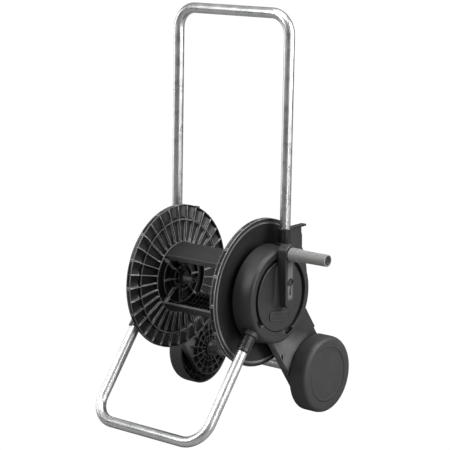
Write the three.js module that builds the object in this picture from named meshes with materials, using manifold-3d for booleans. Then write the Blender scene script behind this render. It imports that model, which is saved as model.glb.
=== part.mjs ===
// Garden hose reel cart: two bent tubes, two moulded side frames, a drum with a crank, and two wheels.
// Millimetres, +Z up. +X is the crank side, -Y the side of the stand, +Y the side of the wheels.
// While it is built, x = 0 is the mid-plane, y = 0 the drum's axis and z = 0 the ground. The last
// lines move it so that its origin is the middle of the bottom of its box.
import * as THREE from "three";
import { mergeVertices } from "three/addons/utils/BufferGeometryUtils.js";
import Module from "manifold-3d";

const wasm = await Module();
wasm.setup();

// ---- Driving dimensions -------------------------------------------------------------------

const GAP = 0.3; // between pieces that touch
const SHELL = 3; // wall of the moulded pieces

// Overall places
const HALF_WIDTH = 166.2; // middle plane of each side's tubes, from x = 0
const DRUM_Z = 313.1; // height of the drum's axis
const AXLE_Y = 154.5; // wheel axle, behind the drum's axis
const WHEEL_RADIUS = 93.2;
const HANDLE_TOP = 957.4; // centreline of the handle's top bar
const STAND_REACH = 258.9; // centreline of the stand's bar, in front of the drum's axis
const AXLE_Z = WHEEL_RADIUS;

// Bent tubes
const TUBE_RADIUS = 12.5;
const TUBE_WALL = 1.5;
const TUBE_SIDES = 12; // a multiple of four, so that a corner rests on the ground
const HANDLE_BEND = 50;
const HANDLE_LEAN = 1.48 * (Math.PI / 180); // backwards, from upright
const HANDLE_FOOT_Y = 45; // centreline of the handle's legs where they leave the sockets
const HANDLE_EXIT = DRUM_Z + 150.4; // height of that place, the top of the sockets
const HANDLE_DEPTH = 60; // how far the legs go into the sockets
const STAND_BEND = 58;
const STAND_TOP_Y = -72.1; // the top ends of the stand's legs, from the drum's axis
const STAND_TOP_BELOW = 63.3;
const SLEEVE_WALL = 3.4; // of the black collars round both tubes' ends
const SLEEVE_RADIUS = TUBE_RADIUS + GAP + SLEEVE_WALL;
const SLEEVE_LENGTH = 64; // how much of the stand's legs is sleeved
const STAND_RISE = DRUM_Z - STAND_TOP_BELOW - TUBE_RADIUS;
const STAND_LEAN = Math.atan2(STAND_REACH + STAND_TOP_Y, STAND_RISE);
const STAND_LENGTH = Math.hypot(STAND_REACH + STAND_TOP_Y, STAND_RISE); // of a leg, from the bar's centreline

// Side frame: a round hub housing, an arm down to the axle and a plate behind the socket
const HOUSING_FRONT = HALF_WIDTH + 23.8; // x of its front face
const HOUSING_BACK = HOUSING_FRONT - 49; // x of its open edge
const HOUSING_RADIUS = 117;
const HOUSING_FACE_RADIUS = 104;
const RECESS_RADIUS = 93; // round recess for the crank disc
const RECESS_DEPTH = 10;
const HOUSING_RIBS = 8;
const HOUSING_SIDES = 32;
const RIB = 2.4;
const ARM_FRONT = HALF_WIDTH - 0.2;
const ARM_BACK = ARM_FRONT - 16;
const ARM_HALF_WIDTH = 68.5;
const ARM_STEP = 4.5; // the arm is this much wider on its rear edge, as far as the step
const ARM_STEP_BEFORE = 82.8; // the step, from the axle towards the drum
const ARM_STRUTS = [152.7, 116.8, 81.8]; // the cross ribs, from the axle towards the drum
const WINDOW = [[125.2, -66], [119.5, -54.8], [106.9, -65.5]]; // towards the drum and aside from the axle
const PLATE_REAR = 112;
const PLATE_TOP = HANDLE_EXIT - 5.5;
const PLATE_LOW = DRUM_Z + 36.9;
const SHELF_REAR = 120;
const SHELF_THICK = 5;
const SHELF_WIDTH = 15;

// Drum
const FLANGE_RADIUS = 175;
const FLANGE_RIM_OUT = HOUSING_BACK - 6.5;
const FLANGE_RIM_IN = FLANGE_RIM_OUT - 12; // x of the rim's edge next to the hose
const FLANGE_RIB_IN = FLANGE_RIM_IN - 8.5; // x of the ribs' edges at the core
const FLANGE_WEB = FLANGE_RIM_IN + 0.5; // x of the web's face at the core
const FLANGE_CONE = 8; // how far the web's face leans out towards the rim
const FLANGE_RIBS = 16;
const FLANGE_RIB = 1.8;
const FLANGE_SIDES = 32; // one flat between each pair of ribs' corners
const CORE_RADIUS = 84;
const TOP_STAVE = { halfAngle: 41, lip: 18 }; // degrees; how far the long edges turn in
const BOTTOM_STAVE = { halfAngle: 51, lip: 5 };
const HUB_RING_RADIUS = 31;
const SPOKE_RING_RADIUS = 63;
const SMALL_RING_RADIUS = 18.5;
const JOURNAL_RADIUS = 22;
const JOURNAL_END = HOUSING_FRONT - 8; // x of the journals' ends
const BUSH_WALL = 4;

// Water path
const PIPE_RADIUS = 8;
const PIPE_BORE = 5;
const PIPE_IN = -65; // x of the elbow inside the drum
const PIPE_OUT = -(HOUSING_FRONT + 11); // x of the pipe's outer end
const NOZZLE_REACH = 15; // how far the elbow's end stands in front of the drum's axis
const NOZZLE_RADIUS = 6;
const NOZZLE_BORE = 4.2;
const INLET_DROP = 46; // how far the inlet reaches below the drum's axis
const INLET_RADIUS = 14;

// Crank
const DISC_RADIUS = 82.5;
const CRANK_RADIUS = 103.6; // from the drum's axis to the grip's axis
const CRANK_HALF_WIDTH = 15.5;
const CRANK_FRONT = HOUSING_FRONT + 27;
const CRANK_BELOW = 24; // how far the arm reaches below the drum's axis
const CRANK_ABOVE = 124;
const GRIP_RADIUS = 14.3;
const GRIP_END = CRANK_FRONT + 106;
const GRIP_COLLAR = 24;
const SPINDLE_RADIUS = 5;

// Wheels
const AXLE_RADIUS = 6;
const WHEEL_IN = ARM_FRONT + 4;
const WHEEL_OUT = WHEEL_IN + 45;
const WHEEL_CAP_RADIUS = 65;
const WHEEL_RIBS = 10;
const WHEEL_SIDES = 32; // a multiple of four, so that a corner is straight down
const WHEEL_HUB_RADIUS = 18;

// ---- Ways of making a solid -----------------------------------------------------------------

const AXIS_X = new THREE.Vector3(1, 0, 0);
const AXIS_Y = new THREE.Vector3(0, 1, 0);
const AXIS_Z = new THREE.Vector3(0, 0, 1);

// A closed three.js geometry as a solid, without the slivers that merging leaves at an axis.
function solid(geometry) {
  const bare = geometry.index ? geometry.toNonIndexed() : geometry.clone();
  bare.deleteAttribute("normal");
  bare.deleteAttribute("uv");
  const merged = mergeVertices(bare, 1e-4);
  const index = merged.index.array;
  const kept = [];
  for (let i = 0; i < index.length; i += 3) {
    const [a, b, c] = [index[i], index[i + 1], index[i + 2]];
    if (a !== b && b !== c && c !== a) kept.push(a, b, c);
  }
  const vertProperties = merged.attributes.position.array;
  const triVerts = new Uint32Array(kept);
  return new wasm.Manifold(new wasm.Mesh({ numProp: 3, vertProperties, triVerts }));
}

// Corners (x, r) carried once round the X axis; they may be listed either way round.
function turned(corners, sides = 16) {
  const area = corners.reduce((sum, [x, r], i) => {
    const [nextX, nextR] = corners[(i + 1) % corners.length];
    return sum + x * nextR - nextX * r;
  }, 0);
  const ordered = area > 0 ? [...corners].reverse() : [...corners];
  const profile = ordered.map(([x, r]) => new THREE.Vector2(r, x));
  profile.push(profile[0].clone());
  return solid(new THREE.LatheGeometry(profile, sides).rotateZ(-Math.PI / 2));
}

// A ring or, with no inner radius, a disc about the X axis.
function ring(fromX, toX, outer, inner = 0, sides = 16) {
  return turned([[fromX, inner], [fromX, outer], [toX, outer], [toX, inner]], sides);
}

// An outline of (y, z) corners carried along X, with holes of the same kind.
function slab(outline, fromX, toX, holes = []) {
  const shape = new THREE.Shape(outline.map(([y, z]) => new THREE.Vector2(y, z)));
  for (const hole of holes) shape.holes.push(new THREE.Path(hole.map(([y, z]) => new THREE.Vector2(y, z))));
  const geometry = new THREE.ExtrudeGeometry(shape, { depth: toX - fromX, bevelEnabled: false });
  geometry.applyMatrix4(new THREE.Matrix4().makeBasis(AXIS_Y, AXIS_Z, AXIS_X));
  return solid(geometry.translate(fromX, 0, 0));
}

// A thin rib in a plane that holds the X axis: corners are (x, r), angle is from +Y towards +Z.
function rib(corners, thickness, angle) {
  const shape = new THREE.Shape(corners.map(([x, r]) => new THREE.Vector2(x, r)));
  const geometry = new THREE.ExtrudeGeometry(shape, { depth: thickness, bevelEnabled: false });
  return solid(geometry.translate(0, 0, -thickness / 2).rotateX(angle));
}

function block(x, y, z) {
  const geometry = new THREE.BoxGeometry(x[1] - x[0], y[1] - y[0], z[1] - z[0]);
  return solid(geometry.translate((x[0] + x[1]) / 2, (y[0] + y[1]) / 2, (z[0] + z[1]) / 2));
}

// A rod, or a pipe with a bore, from one point to another.
function rod(from, to, radius, bore = 0, sides = 16) {
  const along = new THREE.Vector3().subVectors(to, from);
  const turn = new THREE.Quaternion().setFromUnitVectors(AXIS_X, along.clone().normalize());
  const matrix = new THREE.Matrix4().compose(from, turn, new THREE.Vector3(1, 1, 1));
  return ring(0, along.length(), radius, bore, sides).transform(matrix.elements);
}

const deg = (angle) => (angle * Math.PI) / 180;
const moved = (body, x, y, z) => body.translate([x, y, z]);
const spun = (body, angle) => body.rotate([THREE.MathUtils.radToDeg(angle), 0, 0]);
const joined = (bodies) => bodies.reduce((sum, body) => sum.add(body));
const mirrored = (body) => body.mirror([1, 0, 0]);
const around = (count) => Array.from({ length: count }, (_, i) => (i * 2 * Math.PI) / count);
const arc = (cy, cz, radius, from, to, steps) =>
  Array.from({ length: steps + 1 }, (_, i) => {
    const angle = from + ((to - from) * i) / steps;
    return [cy + radius * Math.cos(angle), cz + radius * Math.sin(angle)];
  });

// The centreline of a bent tube: its stations are the ends and the steps round each bend.
class Bend extends THREE.Curve {
  constructor(stations) {
    super();
    this.stations = stations;
  }
  getUtoTmapping(u) {
    return u;
  }
  getPoint(t) {
    return this.stations[Math.round(t * (this.stations.length - 1))].point.clone();
  }
  getTangent(t) {
    return this.stations[Math.round(t * (this.stations.length - 1))].tangent.clone();
  }
}

// A U of tube in the plane of X and up: legs at x = -half and +half, cross bar at the origin.
function bentTube(half, bend, legLength, up, phase) {
  const steps = 5;
  const stations = [];
  const at = (x, rise, tangentX, tangentRise) =>
    stations.push({
      point: up.clone().multiplyScalar(rise).addScaledVector(AXIS_X, x),
      tangent: up.clone().multiplyScalar(tangentRise).addScaledVector(AXIS_X, tangentX),
    });
  at(-half, legLength, 0, -1);
  for (let i = 0; i <= steps; i++) {
    const a = (i / steps) * (Math.PI / 2);
    at(-half + bend * (1 - Math.cos(a)), bend * (1 - Math.sin(a)), Math.sin(a), -Math.cos(a));
  }
  for (let i = 0; i <= steps; i++) {
    const a = (i / steps) * (Math.PI / 2);
    at(half - bend * (1 - Math.sin(a)), bend * (1 - Math.cos(a)), Math.cos(a), Math.sin(a));
  }
  at(half, legLength, 0, 1);
  const circle = (radius) =>
    arc(0, 0, radius, phase, phase + 2 * Math.PI, TUBE_SIDES).slice(0, -1).map((p) => new THREE.Vector2(...p));
  const section = new THREE.Shape(circle(TUBE_RADIUS));
  section.holes.push(new THREE.Path(circle(TUBE_RADIUS - TUBE_WALL)));
  const extrudePath = new Bend(stations);
  return solid(new THREE.ExtrudeGeometry(section, { extrudePath, steps: stations.length - 1 }));
}

// ---- The group, its finishes and how a piece joins it ---------------------------------------------

const cart = new THREE.Group();
const FINISHES = {
  aluminium: { color: 0xb9bbbd, roughness: 0.32, metalness: 1 },
  steel: { color: 0x8f9296, roughness: 0.35, metalness: 1 },
  black_plastic: { color: 0x2b2c2e, roughness: 0.48, metalness: 0 },
  gloss_plastic: { color: 0x121314, roughness: 0.22, metalness: 0 },
  wheel_plastic: { color: 0x2f3032, roughness: 0.6, metalness: 0 },
  grey_plastic: { color: 0xa3a3a1, roughness: 0.55, metalness: 0 },
  rubber: { color: 0x101010, roughness: 0.85, metalness: 0 },
};

function place(name, body, finish) {
  const { numProp, vertProperties, triVerts } = body.getMesh();
  const geometry = new THREE.BufferGeometry();
  const corners = new Float32Array((vertProperties.length / numProp) * 3);
  for (let i = 0; i * numProp < vertProperties.length; i++) {
    corners.set(vertProperties.subarray(i * numProp, i * numProp + 3), i * 3);
  }
  geometry.setAttribute("position", new THREE.BufferAttribute(corners, 3));
  geometry.setIndex(new THREE.BufferAttribute(triVerts, 1));
  geometry.computeVertexNormals();
  const mesh = new THREE.Mesh(geometry, new THREE.MeshStandardMaterial(FINISHES[finish]));
  mesh.name = name;
  cart.add(mesh);
}

// The same piece on the crank side and, mirrored, on the other side.
function placeBoth(name, body, finish) {
  place(name + "_right", body, finish);
  place(name + "_left", mirrored(body), finish);
}

const SIDES = { right: 1, left: -1 };

// ---- Bent tubes ---------------------------------------------------------------------------

// The handle hangs from its top bar: its legs run down and a little forwards into the sockets.
const handleDown = new THREE.Vector3(0, -Math.sin(HANDLE_LEAN), -Math.cos(HANDLE_LEAN));
const handleY = (z) => HANDLE_FOOT_Y + (z - HANDLE_EXIT) * Math.tan(HANDLE_LEAN);
const handleLow = HANDLE_EXIT - HANDLE_DEPTH;
const handleLeg = (HANDLE_TOP - handleLow) / Math.cos(HANDLE_LEAN);
const handle = bentTube(HALF_WIDTH, HANDLE_BEND, handleLeg, handleDown, 0);
place("handle_tube", moved(handle, 0, handleY(HANDLE_TOP), HANDLE_TOP), "aluminium");

// The stand rises from its bar on the ground, which has a corner of its section straight down.
const standUp = new THREE.Vector3(0, Math.sin(STAND_LEAN), Math.cos(STAND_LEAN));
const standAt = (length) => new THREE.Vector3(0, -STAND_REACH, TUBE_RADIUS).addScaledVector(standUp, length);
const stand = bentTube(HALF_WIDTH, STAND_BEND, STAND_LENGTH, standUp, STAND_LEAN);
place("foot_tube", moved(stand, 0, -STAND_REACH, TUBE_RADIUS), "aluminium");

// ---- Side frames -------------------------------------------------------------------------

const BUSH_SEAT = JOURNAL_RADIUS + GAP + BUSH_WALL; // outer radius of the drum's bushes
const HOUSING_BOSS = BUSH_SEAT + GAP + SHELL;
const RECESS_FLOOR = HOUSING_FRONT - RECESS_DEPTH;
const armLength = Math.hypot(AXLE_Y, DRUM_Z - AXLE_Z);
const armAngle = Math.atan2(AXLE_Z - DRUM_Z, AXLE_Y);

// The housing: a round shell open towards the drum, with a recess for the disc on its front.
function housing() {
  const inside = (x) => x - SHELL;
  const shell = turned([
    [HOUSING_BACK, HOUSING_RADIUS],
    [HOUSING_FRONT - 9, HOUSING_RADIUS - 5],
    [HOUSING_FRONT - 2.5, HOUSING_FACE_RADIUS + 4],
    [HOUSING_FRONT, HOUSING_FACE_RADIUS],
    [HOUSING_FRONT, RECESS_RADIUS],
    [RECESS_FLOOR, RECESS_RADIUS],
    [RECESS_FLOOR, BUSH_SEAT + GAP],
    [ARM_BACK, BUSH_SEAT + GAP],
    [ARM_BACK, HOUSING_BOSS],
    [inside(RECESS_FLOOR), HOUSING_BOSS],
    [inside(RECESS_FLOOR), RECESS_RADIUS + SHELL],
    [inside(HOUSING_FRONT), RECESS_RADIUS + SHELL],
    [inside(HOUSING_FRONT), HOUSING_FACE_RADIUS - 1],
    [inside(HOUSING_FRONT) - 7, HOUSING_RADIUS - 5 - SHELL],
    [HOUSING_BACK, HOUSING_RADIUS - SHELL],
  ], HOUSING_SIDES);
  const radial = [
    [ARM_BACK, HOUSING_BOSS - 1],
    [RECESS_FLOOR - 1, HOUSING_BOSS - 1],
    [RECESS_FLOOR - 1, HOUSING_RADIUS - SHELL - 1],
    [ARM_BACK, HOUSING_RADIUS - SHELL / 2],
  ];
  const ribs = around(HOUSING_RIBS).map((angle) => rib(radial, RIB, angle + Math.PI / HOUSING_SIDES));
  return joined([shell, ...ribs]);
}

const housingRoom = () => ring(ARM_BACK - 5, ARM_FRONT + 5, HOUSING_RADIUS - SHELL, 0, HOUSING_SIDES);

// A place on the arm: its distance from the drum's axis towards the axle, and aside from that line.
function onArm(length, side) {
  const [aheadY, aheadZ] = [Math.cos(armAngle), Math.sin(armAngle)];
  return [aheadY * length - aheadZ * side, DRUM_Z + aheadZ * length + aheadY * side];
}

// The arm's outline about the line from the drum's axis to the axle, drawn in by a wall.
function armOutline(inset) {
  const half = ARM_HALF_WIDTH - inset;
  const end = arc(AXLE_Y, AXLE_Z, half, armAngle - Math.PI / 2, armAngle + Math.PI / 2, 10);
  return [
    onArm(inset, -half),
    ...end,
    onArm(armLength - ARM_STEP_BEFORE - inset, half),
    onArm(armLength - ARM_STEP_BEFORE - inset, half + ARM_STEP),
    onArm(inset, half + ARM_STEP),
  ];
}

// The arm: a shallow tray open inwards, stiffened by rings and ribs round the axle's boss.
function arm() {
  const tray = slab(armOutline(0), ARM_BACK, ARM_FRONT);
  const hollow = slab(armOutline(SHELL), ARM_BACK - 1, ARM_FRONT - SHELL);
  const axle = (body) => moved(body, 0, AXLE_Y, AXLE_Z);
  const boss = axle(ring(ARM_BACK - 2, ARM_FRONT + 2, TUBE_RADIUS + 2 * SHELL, AXLE_RADIUS + GAP, 16));
  const spokes = around(4).map((angle) => {
    const corners = [
      [ARM_BACK + 4, TUBE_RADIUS + SHELL],
      [ARM_FRONT - 1, TUBE_RADIUS + SHELL],
      [ARM_FRONT - 1, ARM_HALF_WIDTH - 1],
      [ARM_BACK + 4, ARM_HALF_WIDTH - 1],
    ];
    return axle(rib(corners, RIB, angle + armAngle + Math.PI / 4));
  });
  const bars = ARM_STRUTS.map((fromAxle) => {
    const bar = block([ARM_BACK + 4, ARM_FRONT - 1], [-RIB / 2, RIB / 2], [1 - ARM_HALF_WIDTH, ARM_HALF_WIDTH - 1]);
    return moved(spun(bar, armAngle), 0, ...onArm(armLength - fromAxle, 0));
  });
  const stiff = tray.subtract(hollow).add(joined([boss, ...spokes, ...bars]));
  const inOutline = slab(armOutline(0), ARM_BACK - 3, ARM_FRONT + 3);
  const throughHole = axle(ring(ARM_BACK - 5, ARM_FRONT + 5, AXLE_RADIUS + GAP, 0, 16));
  const tubeSeat = axle(ring(ARM_BACK - 5, ARM_BACK + 3, TUBE_RADIUS + GAP, 0, 16));
  const clearOfHousing = moved(housingRoom(), 0, 0, DRUM_Z);
  return stiff.intersect(inOutline).subtract(joined([throughHole, tubeSeat, clearOfHousing]));
}

// The plate behind the handle's socket, with a shelf along its top.
function rearPlate() {
  const front = HANDLE_FOOT_Y + 8;
  const outline = [
    [front, PLATE_LOW],
    [PLATE_REAR - 8, PLATE_LOW],
    [PLATE_REAR, PLATE_LOW + 40],
    [PLATE_REAR, PLATE_TOP - 22],
    [PLATE_REAR - 3, PLATE_TOP - 14],
    [PLATE_REAR - 3, PLATE_TOP + 1],
    [front, PLATE_TOP + 1],
  ];
  const plate = slab(outline, ARM_FRONT - SHELL - 1, ARM_FRONT);
  const shelfMiddle = ARM_FRONT - SHELL / 2;
  const shelf = block(
    [shelfMiddle - SHELF_WIDTH / 2, shelfMiddle + SHELF_WIDTH / 2],
    [front + 7, SHELF_REAR],
    [PLATE_TOP, PLATE_TOP + SHELF_THICK],
  );
  const stiffeners = [front + 20, PLATE_REAR - 14].map((y) =>
    block([ARM_BACK + 2, ARM_FRONT - SHELL], [y, y + RIB], [PLATE_LOW, PLATE_TOP + 1]),
  );
  const clearOfHousing = moved(housingRoom(), 0, 0, DRUM_Z);
  return joined([plate, shelf, ...stiffeners]).subtract(clearOfHousing);
}

// Where each tube's sleeve lies, as two ends of its axis on the crank side.
const handleAxis = (z) => new THREE.Vector3(HALF_WIDTH, handleY(z), z);
const standAxis = (length) => standAt(length).setX(HALF_WIDTH);
const socketLow = handleLow - SHELL;
const sleeveHigh = STAND_LENGTH + SHELL;
const sleeveLow = STAND_LENGTH - SLEEVE_LENGTH;
const bossRadius = SLEEVE_RADIUS + GAP + SHELL;

// A notch in the recess's edge and the flat tongue that fills the groove under the disc.
const ringSector = (outer, inner, from, to) => [
  ...arc(0, DRUM_Z, outer, from, to, 3),
  ...arc(0, DRUM_Z, inner, to, from, 3),
];

function sideFrame() {
  const tongue = slab(
    ringSector(RECESS_RADIUS + 1, DISC_RADIUS + 2, deg(-138), deg(-80)),
    RECESS_FLOOR - 1,
    HOUSING_FRONT - 1,
  );
  const body = joined([
    moved(housing(), 0, 0, DRUM_Z),
    tongue,
    arm(),
    rearPlate(),
    rod(handleAxis(socketLow - SHELL), handleAxis(HANDLE_EXIT - 34), bossRadius),
    rod(standAxis(STAND_LENGTH - 24), standAxis(sleeveHigh + SHELL), bossRadius),
  ]);
  const corners = WINDOW.map(([fromAxle, side]) => onArm(armLength - fromAxle, side));
  const window = slab(corners, ARM_BACK - 5, ARM_FRONT + 5);
  const notches = [[-154, -140], [-78, -62]].map(([from, to]) =>
    slab(ringSector(RECESS_RADIUS + 4, RECESS_RADIUS - 1, deg(from), deg(to)), RECESS_FLOOR, HOUSING_FRONT + 1),
  );
  const seats = [
    rod(handleAxis(socketLow - GAP), handleAxis(HANDLE_EXIT + 40), SLEEVE_RADIUS + GAP),
    rod(standAxis(sleeveLow - 40), standAxis(sleeveHigh + GAP), SLEEVE_RADIUS + 1.5 * GAP),
  ];
  const discRoom = moved(ring(RECESS_FLOOR, HOUSING_FRONT + 5, DISC_RADIUS + 2, 0, HOUSING_SIDES), 0, 0, DRUM_Z);
  return body.subtract(joined([window, ...notches, ...seats, discRoom]));
}
placeBoth("side_frame", sideFrame(), "black_plastic");

// Sockets and sleeves: glossy collars with a stop at the tube's end.
const collar = (low, high, stop) => {
  const towards = new THREE.Vector3().subVectors(high, low).normalize();
  const body = rod(low, high, SLEEVE_RADIUS, 0, 16);
  const bore = rod(low.clone().addScaledVector(towards, stop), high.clone().addScaledVector(towards, 5),
    TUBE_RADIUS + GAP, 0, 16);
  const drain = rod(low.clone().addScaledVector(towards, -5), high, 5, 0, 8);
  return body.subtract(bore).subtract(drain);
};
placeBoth("handle_socket", collar(handleAxis(socketLow), handleAxis(HANDLE_EXIT), SHELL - GAP), "gloss_plastic");
placeBoth("foot_sleeve", collar(standAxis(sleeveHigh), standAxis(sleeveLow), SHELL - GAP), "gloss_plastic");

// ---- Axle ---------------------------------------------------------------------------------

const onAxle = (body) => moved(body, 0, AXLE_Y, AXLE_Z);
const tubeEnd = ARM_BACK + 3 - GAP;
place("axle_tube", onAxle(ring(-tubeEnd, tubeEnd, TUBE_RADIUS, TUBE_RADIUS - TUBE_WALL, TUBE_SIDES)), "aluminium");
const RETAINER_IN = WHEEL_OUT - 9;
place("axle_rod", onAxle(ring(-RETAINER_IN - 3, RETAINER_IN + 3, AXLE_RADIUS, 0, 16)), "steel");
const spacer = ring(ARM_FRONT + 2 + GAP, WHEEL_IN + 1 - GAP, AXLE_RADIUS + 5, AXLE_RADIUS + GAP, 12);
placeBoth("axle_washer", onAxle(spacer), "steel");
const retainer = ring(RETAINER_IN, RETAINER_IN + 1.5, AXLE_RADIUS + 6, AXLE_RADIUS + GAP, 12);
placeBoth("axle_retainer", onAxle(retainer), "steel");

// ---- Wheels ---------------------------------------------------------------------------------

const WHEEL_BORE = AXLE_RADIUS + 3.3;
const capSeat = WHEEL_OUT - 2.8;
function wheel() {
  const inner = WHEEL_RADIUS - 3.5;
  const shell = turned([
    [WHEEL_IN, WHEEL_RADIUS - 1.5],
    [WHEEL_IN + 1.5, WHEEL_RADIUS],
    [WHEEL_OUT - 14, WHEEL_RADIUS],
    [WHEEL_OUT - 7, WHEEL_RADIUS - 2],
    [WHEEL_OUT - 2.5, WHEEL_RADIUS - 6.5],
    [WHEEL_OUT, WHEEL_RADIUS - 15],
    [WHEEL_OUT, WHEEL_CAP_RADIUS + 1],
    [capSeat, WHEEL_CAP_RADIUS + 1],
    [capSeat, WHEEL_HUB_RADIUS - SHELL],
    [RETAINER_IN - 0.5, WHEEL_HUB_RADIUS - SHELL],
    [RETAINER_IN - 0.5, WHEEL_BORE],
    [WHEEL_IN + 1, WHEEL_BORE],
    [WHEEL_IN + 1, WHEEL_HUB_RADIUS],
    [capSeat - SHELL, WHEEL_HUB_RADIUS],
    [capSeat - SHELL, WHEEL_RADIUS - 17],
    [WHEEL_OUT - 9, WHEEL_RADIUS - 9],
    [WHEEL_OUT - 16, inner],
    [WHEEL_IN, inner],
  ], WHEEL_SIDES);
  const web = capSeat - 1;
  const radial = [
    [WHEEL_IN + 16, inner + 1],
    [WHEEL_IN + 4, WHEEL_HUB_RADIUS - 1],
    [web, WHEEL_HUB_RADIUS - 1],
    [web, WHEEL_RADIUS - 16],
    [WHEEL_OUT - 12, inner + 1],
  ];
  const ribs = around(WHEEL_RIBS).map((angle) => rib(radial, RIB, angle));
  return joined([shell, ...ribs]);
}
placeBoth("wheel", onAxle(wheel()), "wheel_plastic");
const wheelCap = turned([
  [capSeat + GAP, 0],
  [capSeat + GAP, WHEEL_CAP_RADIUS],
  [WHEEL_OUT - 0.6, WHEEL_CAP_RADIUS],
  [WHEEL_OUT, WHEEL_CAP_RADIUS - 0.8],
  [WHEEL_OUT, 0],
], WHEEL_SIDES);
placeBoth("wheel_cap", onAxle(wheelCap), "wheel_plastic");
const wheelBush = ring(WHEEL_IN + 1.5, RETAINER_IN - 0.8, WHEEL_BORE - GAP, AXLE_RADIUS + GAP, 16);
placeBoth("wheel_bush", onAxle(wheelBush), "grey_plastic");

// ---- Drum ------------------------------------------------------------------------------------

const onDrum = (body) => moved(body, 0, 0, DRUM_Z);

// One flange on the crank side: a dished web with a rim, rings and ribs towards the hose.
function flange(bore, boreDepth, pilot) {
  const web = turned([
    [FLANGE_RIM_IN, FLANGE_RADIUS],
    [FLANGE_RIM_OUT, FLANGE_RADIUS],
    [FLANGE_RIM_OUT, FLANGE_RADIUS - 2.5],
    [FLANGE_WEB + SHELL, CORE_RADIUS + 15],
    [FLANGE_WEB + SHELL, JOURNAL_RADIUS],
    [JOURNAL_END, JOURNAL_RADIUS],
    [JOURNAL_END, pilot],
    [boreDepth, pilot],
    [boreDepth, bore],
    [FLANGE_WEB, bore],
    [FLANGE_WEB, CORE_RADIUS + 15],
    [FLANGE_WEB + FLANGE_CONE, FLANGE_RADIUS - 3],
    [FLANGE_RIM_IN, FLANGE_RADIUS - 3],
  ], FLANGE_SIDES);
  const slope = (FLANGE_RIM_IN - FLANGE_RIB_IN) / (FLANGE_RADIUS - CORE_RADIUS - 2);
  const edge = (radius) => FLANGE_RIB_IN + slope * (radius - CORE_RADIUS - 2);
  const rings = [
    ring(FLANGE_RIB_IN, FLANGE_WEB + 1, CORE_RADIUS + 3, CORE_RADIUS + 0.6, FLANGE_SIDES),
    ring(FLANGE_RIB_IN, FLANGE_WEB + 1, SPOKE_RING_RADIUS + 1.2, SPOKE_RING_RADIUS - 1.2, FLANGE_SIDES),
    ring(FLANGE_RIB_IN - 6, FLANGE_WEB + 1, HUB_RING_RADIUS + 1.2, HUB_RING_RADIUS - 1.2, 16),
    ring(FLANGE_RIB_IN - 8, FLANGE_WEB + 1, SMALL_RING_RADIUS, SMALL_RING_RADIUS - 2.4, 16),
  ];
  const outer = [
    [edge(CORE_RADIUS + 2), CORE_RADIUS + 2],
    [edge(FLANGE_RADIUS - 2), FLANGE_RADIUS - 2],
    [FLANGE_WEB + FLANGE_CONE + 1, FLANGE_RADIUS - 2],
    [FLANGE_WEB + 1.5, CORE_RADIUS + 15],
    [FLANGE_WEB + 1.5, CORE_RADIUS + 2],
  ];
  const spoke = [
    [FLANGE_RIB_IN - 4, bore + 3],
    [FLANGE_RIB_IN, SPOKE_RING_RADIUS],
    [FLANGE_WEB + 1, SPOKE_RING_RADIUS],
    [FLANGE_WEB + 1, bore + 3],
  ];
  const gusset = (angle) => {
    const at = (radius, side) => [
      radius * Math.cos(angle) - side * Math.sin(angle),
      radius * Math.sin(angle) + side * Math.cos(angle),
    ];
    const corners = [at(SPOKE_RING_RADIUS, -3.4), at(SPOKE_RING_RADIUS + 14, 0), at(SPOKE_RING_RADIUS, 3.4)];
    return slab(corners, FLANGE_RIB_IN, FLANGE_WEB + 1);
  };
  return joined([
    web,
    ...rings,
    ...around(FLANGE_RIBS).map((angle) => rib(outer, FLANGE_RIB, angle + Math.PI / FLANGE_RIBS)),
    ...around(8).map((angle) => rib(spoke, FLANGE_RIB, angle)),
    ...around(4).map((angle) => gusset(angle + Math.PI / 4)),
  ]);
}

// A shallow arc of the core, with a lip turned in along each long edge.
const staveEnd = FLANGE_WEB - GAP;
function stave({ halfAngle, lip }) {
  const from = deg(90 - halfAngle);
  const to = deg(90 + halfAngle);
  const lipAngle = SHELL / (CORE_RADIUS - SHELL);
  const tip = CORE_RADIUS - lip;
  const tipAngle = SHELL / tip;
  const outline = [
    ...arc(0, 0, CORE_RADIUS, from, to, 9),
    ...arc(0, 0, tip, to, to - tipAngle, 1),
    ...arc(0, 0, CORE_RADIUS - SHELL, to - lipAngle, from + lipAngle, 9),
    ...arc(0, 0, tip, from + tipAngle, from, 1),
  ];
  return slab(outline, -staveEnd, staveEnd);
}

// The wider stave, which carries the hose's weight, is stiffened by a lattice on its inside.
const LATTICE_DEPTH = 9;
const LATTICE_RIB = 2;
function staveLattice() {
  const rise = (side) => Math.sqrt((CORE_RADIUS - SHELL / 2) ** 2 - side ** 2);
  const lengths = [-27, 27].map((y) =>
    block([-staveEnd, staveEnd], [y - LATTICE_RIB / 2, y + LATTICE_RIB / 2], [rise(y) - LATTICE_DEPTH, rise(y)]),
  );
  const from = deg(90 - BOTTOM_STAVE.halfAngle + 3);
  const to = Math.PI - from;
  const outline = [
    ...arc(0, 0, CORE_RADIUS - SHELL / 2, from, to, 6),
    ...arc(0, 0, CORE_RADIUS - SHELL / 2 - LATTICE_DEPTH, to, from, 4),
  ];
  const crossings = [-60, 0, 60].map((x) => slab(outline, x - LATTICE_RIB / 2, x + LATTICE_RIB / 2));
  return joined([...lengths, ...crossings]);
}

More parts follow.
